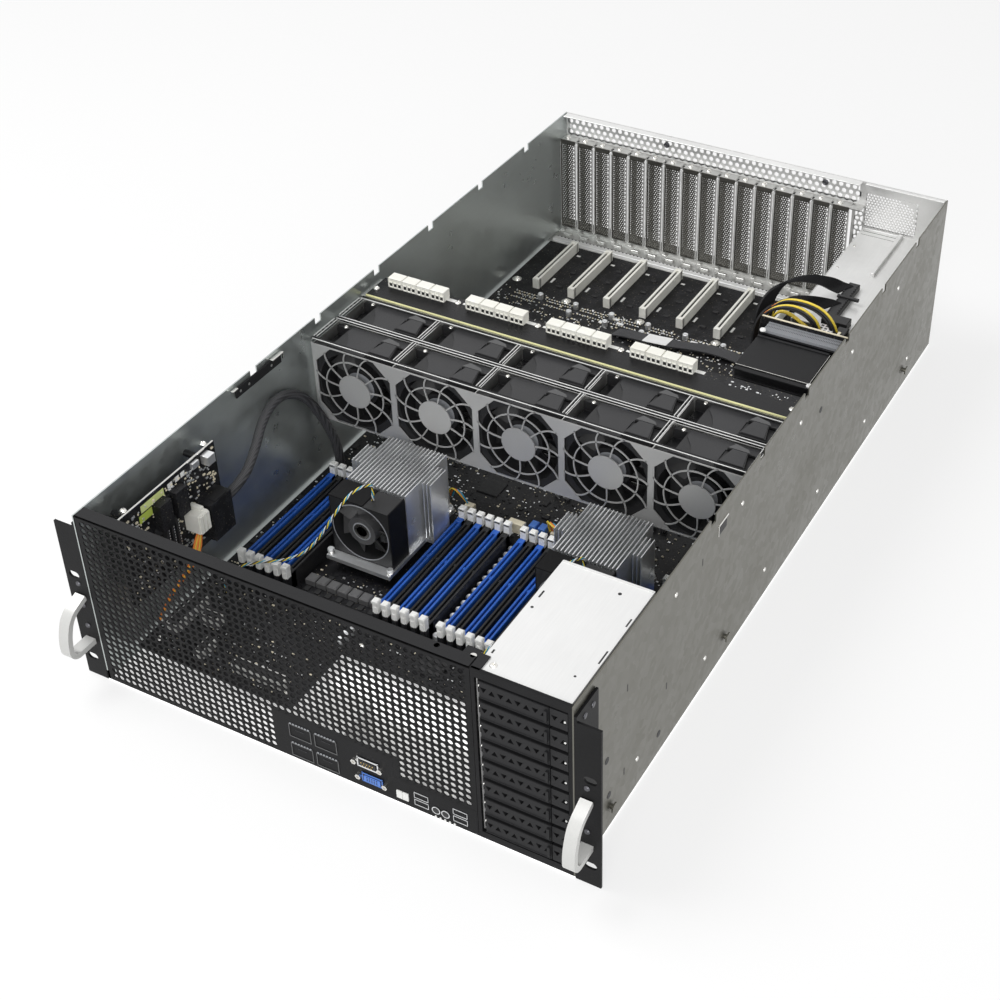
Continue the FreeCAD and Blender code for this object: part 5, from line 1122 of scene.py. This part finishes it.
# painted light: white dots stand for light showing through a row of holes in the rail.
boxes("rail_light_dots", [(-211 + 4.6 * k, 364.2, 36.05, 2.7, 2.9, 0.5) for k in range(75)], 0.05, white_plastic)
boxes("rail_dark", [(-41, 364.2, 36.02, 346, 5.0, 0.1)], 0.02, gloss_black)
clips = [(x + 4, 374, 36.05, 9, 3.0, 2.2) for x in covers]
piece("rail_clips", [bricks(clips, 0.4), bricks([(x - 5, 379, 36.05, 4, 1.6, 3.0) for x in covers], 0.3)],
      zinc_sheet)
boxes("rail_clip_slots", [(x + 4, 376.4, 36.05, 8, 1.2, 0.1) for x in covers], 0.02, chip_black)
print("rear top", cage_top)

# %% [markdown]
# The supplies sit in a pale cage with a folded rim. At its front, black clamps shaped like combs hold the
# flat leads; they arch over from the board, with two yellow wires between them.
# %% Power supplies
rim = cage_top + 0.05
rails = [(177, 352, rim, 4.4, 88, 4.0), (156, 396.4, rim, 40, 2.0, 1.6), (134.9, 300, rim, 0.8, 196, 0.5)]
boxes("cage_rim", rails, 0.3, satin_bow)
boxes("cage_recess_lines", [(156, 392, rim, 38, 0.6, 0.06), (156, 385, rim, 38, 0.4, 0.06)], 0.01, charcoal)
round_piece("cage_rivets", [(x, y, rim) for x in (140, 212) for y in (240, 310, 358)],
            ((1.6, 0), (1.4, 0.4), (0.8, 0.6)), 16, screw_metal, smooth=True)
clamps = [(170, 246, rim, 11, 66, 6), (174, 249, rim + 5, 22, 3, 3), (178, 207, rim, 26, 13, 8)]
teeth = [(170 + s * 4.4, 216 + 4.4 * k, rim + 6, 1.2, 2.2, 0.8) for k in range(14) for s in (-1, 1)]
piece("cable_combs", [bricks(clamps, 0.5), bricks(teeth, 0.2)], black_plastic)


def corrugated(points, width, count, across, coat, name):
    """A flat bundle of parallel wires: half-round ridges side by side, each one a thin ribbon of its own."""
    across = np.array(across, float) / np.linalg.norm(across)
    ridges = [ribbon(points + across * width * (k / (count - 1) - 0.5), width / count * 0.78, 2.4, across)
              for k in range(count)]
    return piece(name, ridges + [ribbon(points, width, 0.8, across)], coat)


arch = curve([(114, 184, 37), (111, 186, 104), (110, 194, 132), (116, 212, 146), (130, 233, 147),
              (147, 252, 139), (158, 261, 131), (166, 264, 127.6)], 9)
corrugated(arch, 19, 11, (0.42, 0.9, 0), charcoal, "flat_lead_wide")
inner = curve([(118, 167, 37), (116, 169, 106), (117, 178, 131), (127, 194, 142), (143, 210, 140),
               (156, 224, 133), (166, 230, 127.6)], 9)
corrugated(inner, 18, 10, (0.5, 0.86, 0), charcoal, "flat_lead_narrow")
for k in range(2):
    path = np.array([(122, 174, 110), (125, 172, 134), (134, 170, 148), (147, 168, 148), (160, 166, 142),
                     (174, 163, 136)]) + (0, -2.4 * k, 0)
    wire(f"supply_wire_{k + 1}", path, 1.05, yellow_wire)
boxes("supply_connector", [(185, 157, 127, 15, 15, 22), (185, 148.6, 134, 12, 2, 8)], 0.6, white_plastic)
boxes("supply_connector_wells", [(180.6 + 4.4 * a, 152.6 + 4.4 * b, 149, 2.6, 2.6, 0.06) for a in range(3)
                                 for b in range(3)], 0.01, chip_black)
boxes("supply_side_parts", [(199, 160, 124, 10, 17, 24), (211, 165, 118, 11, 20, 22)], 0.6, black_plastic)
boxes("supply_coils", [(199, 155, 148, 3, 5, 1.6), (212, 160, 140, 4, 5, 1.4)], 0.3, cream)
print("cage top", cage_top)

# %% [markdown]
# In front of them a board stands on edge with a pale line on its top, then a grey ribbed bar, then a black
# block with a plain lid and a stepped front.
# %% Supply board and block
boxes("supply_gilt", [(173, 134.8, 160.02, 85, 1.5, 0.9)], 0.1, cream)
ribs = [(139 + 1.55 * n, 126.5, 155.6, 0.7, 14.4, 0.9) for n in range(46)]
boxes("rib_bar_ribs", ribs, 0.15, grey_plastic)
boxes("rib_bar_shadow", [(174, 117.6, 145, 71, 2.2, 8.6)], 0.2, gloss_black)
lid, cover_of_block = (170.5, 88, 151.02, 70.4, 51.4, 0.6), (170.5, 113, 150.6, 70, 2.6, 2.4)
boxes("block_lid", [lid, cover_of_block], 0.3, charcoal)
steps = [(172, 60.4, 138 - 9 * k, 72, 3.0, 1.6) for k in range(4)]
piece("block_front_steps", [bricks(steps, 0.3), bricks([(172, 58.6, 149.4, 71, 5.0, 1.4)], 0.3)], charcoal)
# painted highlight: bright lines along the lid's front and right edges.
boxes("block_edge_highlights", [(170.5, 62.4, 151.1, 70, 0.5, 0.6), (206.2, 88, 151.1, 0.5, 51, 0.6)], 0.1,
      screw_metal)
screws("block_screws", [(207.5, 60, 150.8), (128, 52, 36), (139, 116, 157)], white_plastic, smooth=True)
print("ribs", len(ribs))

# %% [markdown]
# At its rear end, each supply has an inlet with three blades in one pocket, and behind its pull bar a small
# fan's guard: four rings on two crossed wires, before a dark well.
# %% Supply ends
supply_lows = [2.2 + 118 / 3 * k for k in range(3)]
inlets = [(156.5, low + 18.5) for low in supply_lows]
piece("supply_inlets", [bricks([(x, 389.5, z - 9.8, 26.6, 6, 19.6) for x, z in inlets], 0.6),
                        rims(inlets, 25.6, 18.6, 1.4, 397.5)], black_plastic)
boxes("supply_pins", [(x + aside, 395, z - 2.5, 1.4, 5, 5) for x, z in inlets for aside in (-6.5, 0, 6.5)],
      0.2, screw_metal)
grilles = [(193.5, 387.4, low + 19) for low in supply_lows]
thicken(piece("supply_grilles", [tiled(*strip(r * circle, (r + 0.8) * circle, True), grilles)
                                 for r in (3, 6.2, 9.4, 12.6)], satin_bow), 0.6)
boxes("supply_grille_wires", [(x, y + 0.6, z - 13.4, 0.8, 0.6, 26.8) for x, y, z in grilles]
      + [(x, y + 0.6, z - 0.4, 26.8, 0.6, 0.8) for x, y, z in grilles], 0.1, satin_bow)
boxes("supply_wells", [(x, 386.2, z - 14.4, 33, 0.3, 29) for x, y, z in grilles], 0.05, gloss_black)
print("supply ends", len(inlets))

# %% [markdown]
# The side board stands on the left wall, face inward. Its top edge carries a bright line of painted
# highlight;
# a white plug sits in its middle, with six wires that hang down, and a plain two-tone patch near its front.
# %% Side board
low, high = (np.array(corner) * 1000 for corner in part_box("side_board"))
FACE_X = -200.3


def on_wall(rows):
    """Turns rows for bricks that lie flat (x, y, height, sizes) into parts that stand off the side board."""
    rows = np.array(rows, float).reshape(-1, 5)
    y, z, w, d, h = rows.T
    return [(FACE_X + height / 2, a, b - deep / 2, height, wide, deep)
            for a, b, wide, deep, height in zip(y, z, w, d, h)]


SIDE_COUNT = 420
small = rng.random((SIDE_COUNT, 2)) * (112, 84) + (-370, 69)
kinds = np.array(((1.8, 1.0, 0.8), (1.0, 1.8, 0.8), (2.6, 1.6, 1.1), (1.2, 1.2, 0.6)))
dots = np.column_stack((small, kinds[rng.integers(0, 4, SIDE_COUNT)]))
boxes("side_parts", on_wall(dots[:SIDE_COUNT // 2]), 0.1, fin_metal)
boxes("side_capacitors", on_wall(dots[SIDE_COUNT // 2:]), 0.1, cream)
side_chips = [(-318, 138, 13, 13, 1.6), (-340, 96, 16, 12, 1.4), (-262, 145, 7, 9, 1.4),
              (-334, 118, 9, 9, 1.2), (-360, 116, 8, 6, 1.2)]
boxes("side_chips", on_wall(side_chips), 0.3, chip_black)
boxes("side_slots", on_wall([(-316 - 6 * k, 106, 3.6, 36, 5.0) for k in range(3)]), 0.4, black_plastic)
boxes("side_slot_teeth",
      on_wall([(-314.9 - 6 * k, 90 + 2.8 * n, 0.7, 1.3, 5.2) for k in range(3) for n in range(12)]), 0.1,
      fin_metal)
piece("side_plug", [bricks(on_wall([(-296, 106, 13, 19, 15), (-293, 117, 4, 4, 12)]), 0.8),
                    bricks([(-184.6, -296 + 4.2 * n, 97, 2.0, 3.4, 18) for n in (-1, 0, 1)], 0.6)], ivory)
boxes("side_ports", on_wall([(-268, 150, 9, 9, 8), (-282, 152, 8, 6, 3)]), 0.4, fin_metal)
boxes("side_plug_clips", [(-188, -274, 118.05, 9, 16, 0.8)], 0.3, charcoal)
boxes("side_patch", on_wall([(-334, 150, 28, 7, 0.2)]), 0.05, lime_light)
boxes("side_patch_low", on_wall([(-341, 141.5, 21, 7.5, 0.2)]), 0.05, lime_patch)
boxes("side_marks", on_wall([(-312, 150, 6, 6, 0.1), (-303, 151, 5, 5, 0.1), (-296, 151, 5, 5, 0.1)]), 0.02,
      white_ink)
# painted highlight: a bright line along the board's top edge.
boxes("side_edge_highlight", [(-201.1, -314, 156.95, 1.6, 119, 0.8)], 0.1, screw_metal)
screws("side_screws", [(-205, y, 157.2) for y in (-262, -362)] + [(-212, -246, 140)])
for k in range(6):
    spread = 1.9 * k
    path = np.array([(-191, -296, 97), (-189, -298 - spread, 90), (-186, -306 - spread, 80),
                     (-186, -322 - spread, 70), (-194, -340, 56), (-200, -352, 34)]) + (0, 0, 0.9 * (k % 3))
    wire(f"side_wire_{k + 1}", path, 0.95, (orange_wire, yellow_wire, orange_wire)[k % 3])
print("side board from", low, "to", high)

# %% [markdown]
# Leads of the solid model are plain tubes. Here each follows the same route as smooth curves: a braided
# sleeve for the side lead, four thin twisted wires for each cooler fan, and five wires for each power lead.
# %% Leads
SIDE_LEAD = ((-192, -261.9, 104), (-192, -236, 104), (-198, -208, 117), (-207, -182, 132),
             (-212.5, -154, 135), (-213, -128, 124), (-212, -110, 104), (-210, -98, 80), (-206, -89, 54),
             (-203, -86, 32), (-203, -86, 12.3))
COOLER_LEADS = (((-90, -190, 89.3), (-90, -190.5, 106), (-97, -208, 108), (-106, -221, 93), (-113, -229, 78),
                 (-121, -236, 64), (-131, -243, 53), (-146, -253, 47), (-163, -262, 45), (-178, -270, 40),
                 (-189, -277, 29), (-191, -279, 12.3)),
                ((115, -190, 89.3), (115, -190.5, 106), (108, -208, 108), (99, -221, 93), (92, -229, 78),
                 (84, -236, 64), (76, -244, 53), (69, -256, 47), (62, -267, 38), (59, -272, 26),
                 (59, -272, 12.3)))
POWER_LEADS = (((124, 146, 36.3), (124, 146, 148.1), (134.7, 147, 162.8), (152, 149.5, 168.4),
                (169.3, 152, 162.8), (180, 154, 148.1), (180, 154, 128.3)),
               ((124, 161, 36.3), (124, 161, 145.7), (137.8, 161, 164.6), (160, 160, 169),
                (182.2, 159, 164.6), (196, 158, 145.7), (196, 158, 128.3)))
sleeve = wire("side_lead", SIDE_LEAD, 4.5, braid, 16)
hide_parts("leads")
tints = (blue_wire, white_wire, black_plastic, yellow_wire)
for k, route in enumerate(COOLER_LEADS, start=1):
    middle = curve(route, 12)
    ahead = np.gradient(middle, axis=0)
    ahead /= np.linalg.norm(ahead, axis=1)[:, None]
    side = np.cross(ahead, (0.3, 0.2, 0.93))
    side /= np.linalg.norm(side, axis=1)[:, None]
    up = np.cross(side, ahead)
    length = np.concatenate(([0], np.cumsum(np.linalg.norm(np.diff(middle, axis=0), axis=1))))
    for n, tint in enumerate(tints):
        turn_by = (length / 13 * math.tau + n * math.tau / 4)[:, None]
        wire(f"cooler_wire_{k}_{n + 1}", middle + 0.8 * (np.cos(turn_by) * side + np.sin(turn_by) * up), 0.52,
             tint, 3)
for k, route in enumerate(POWER_LEADS, start=1):
    for n, tint in enumerate((yellow_wire, black_plastic, orange_wire, black_plastic, black_plastic)):
        aside = (1.9 * math.cos(1.3 * n), 2.6 * math.sin(1.3 * n), 1.9 * math.cos(1.3 * n))
        wire(f"power_lead_{k}_{n + 1}", np.array(route, float) + aside, 1.25, tint, 5)
print("wires", len(bpy.data.curves))
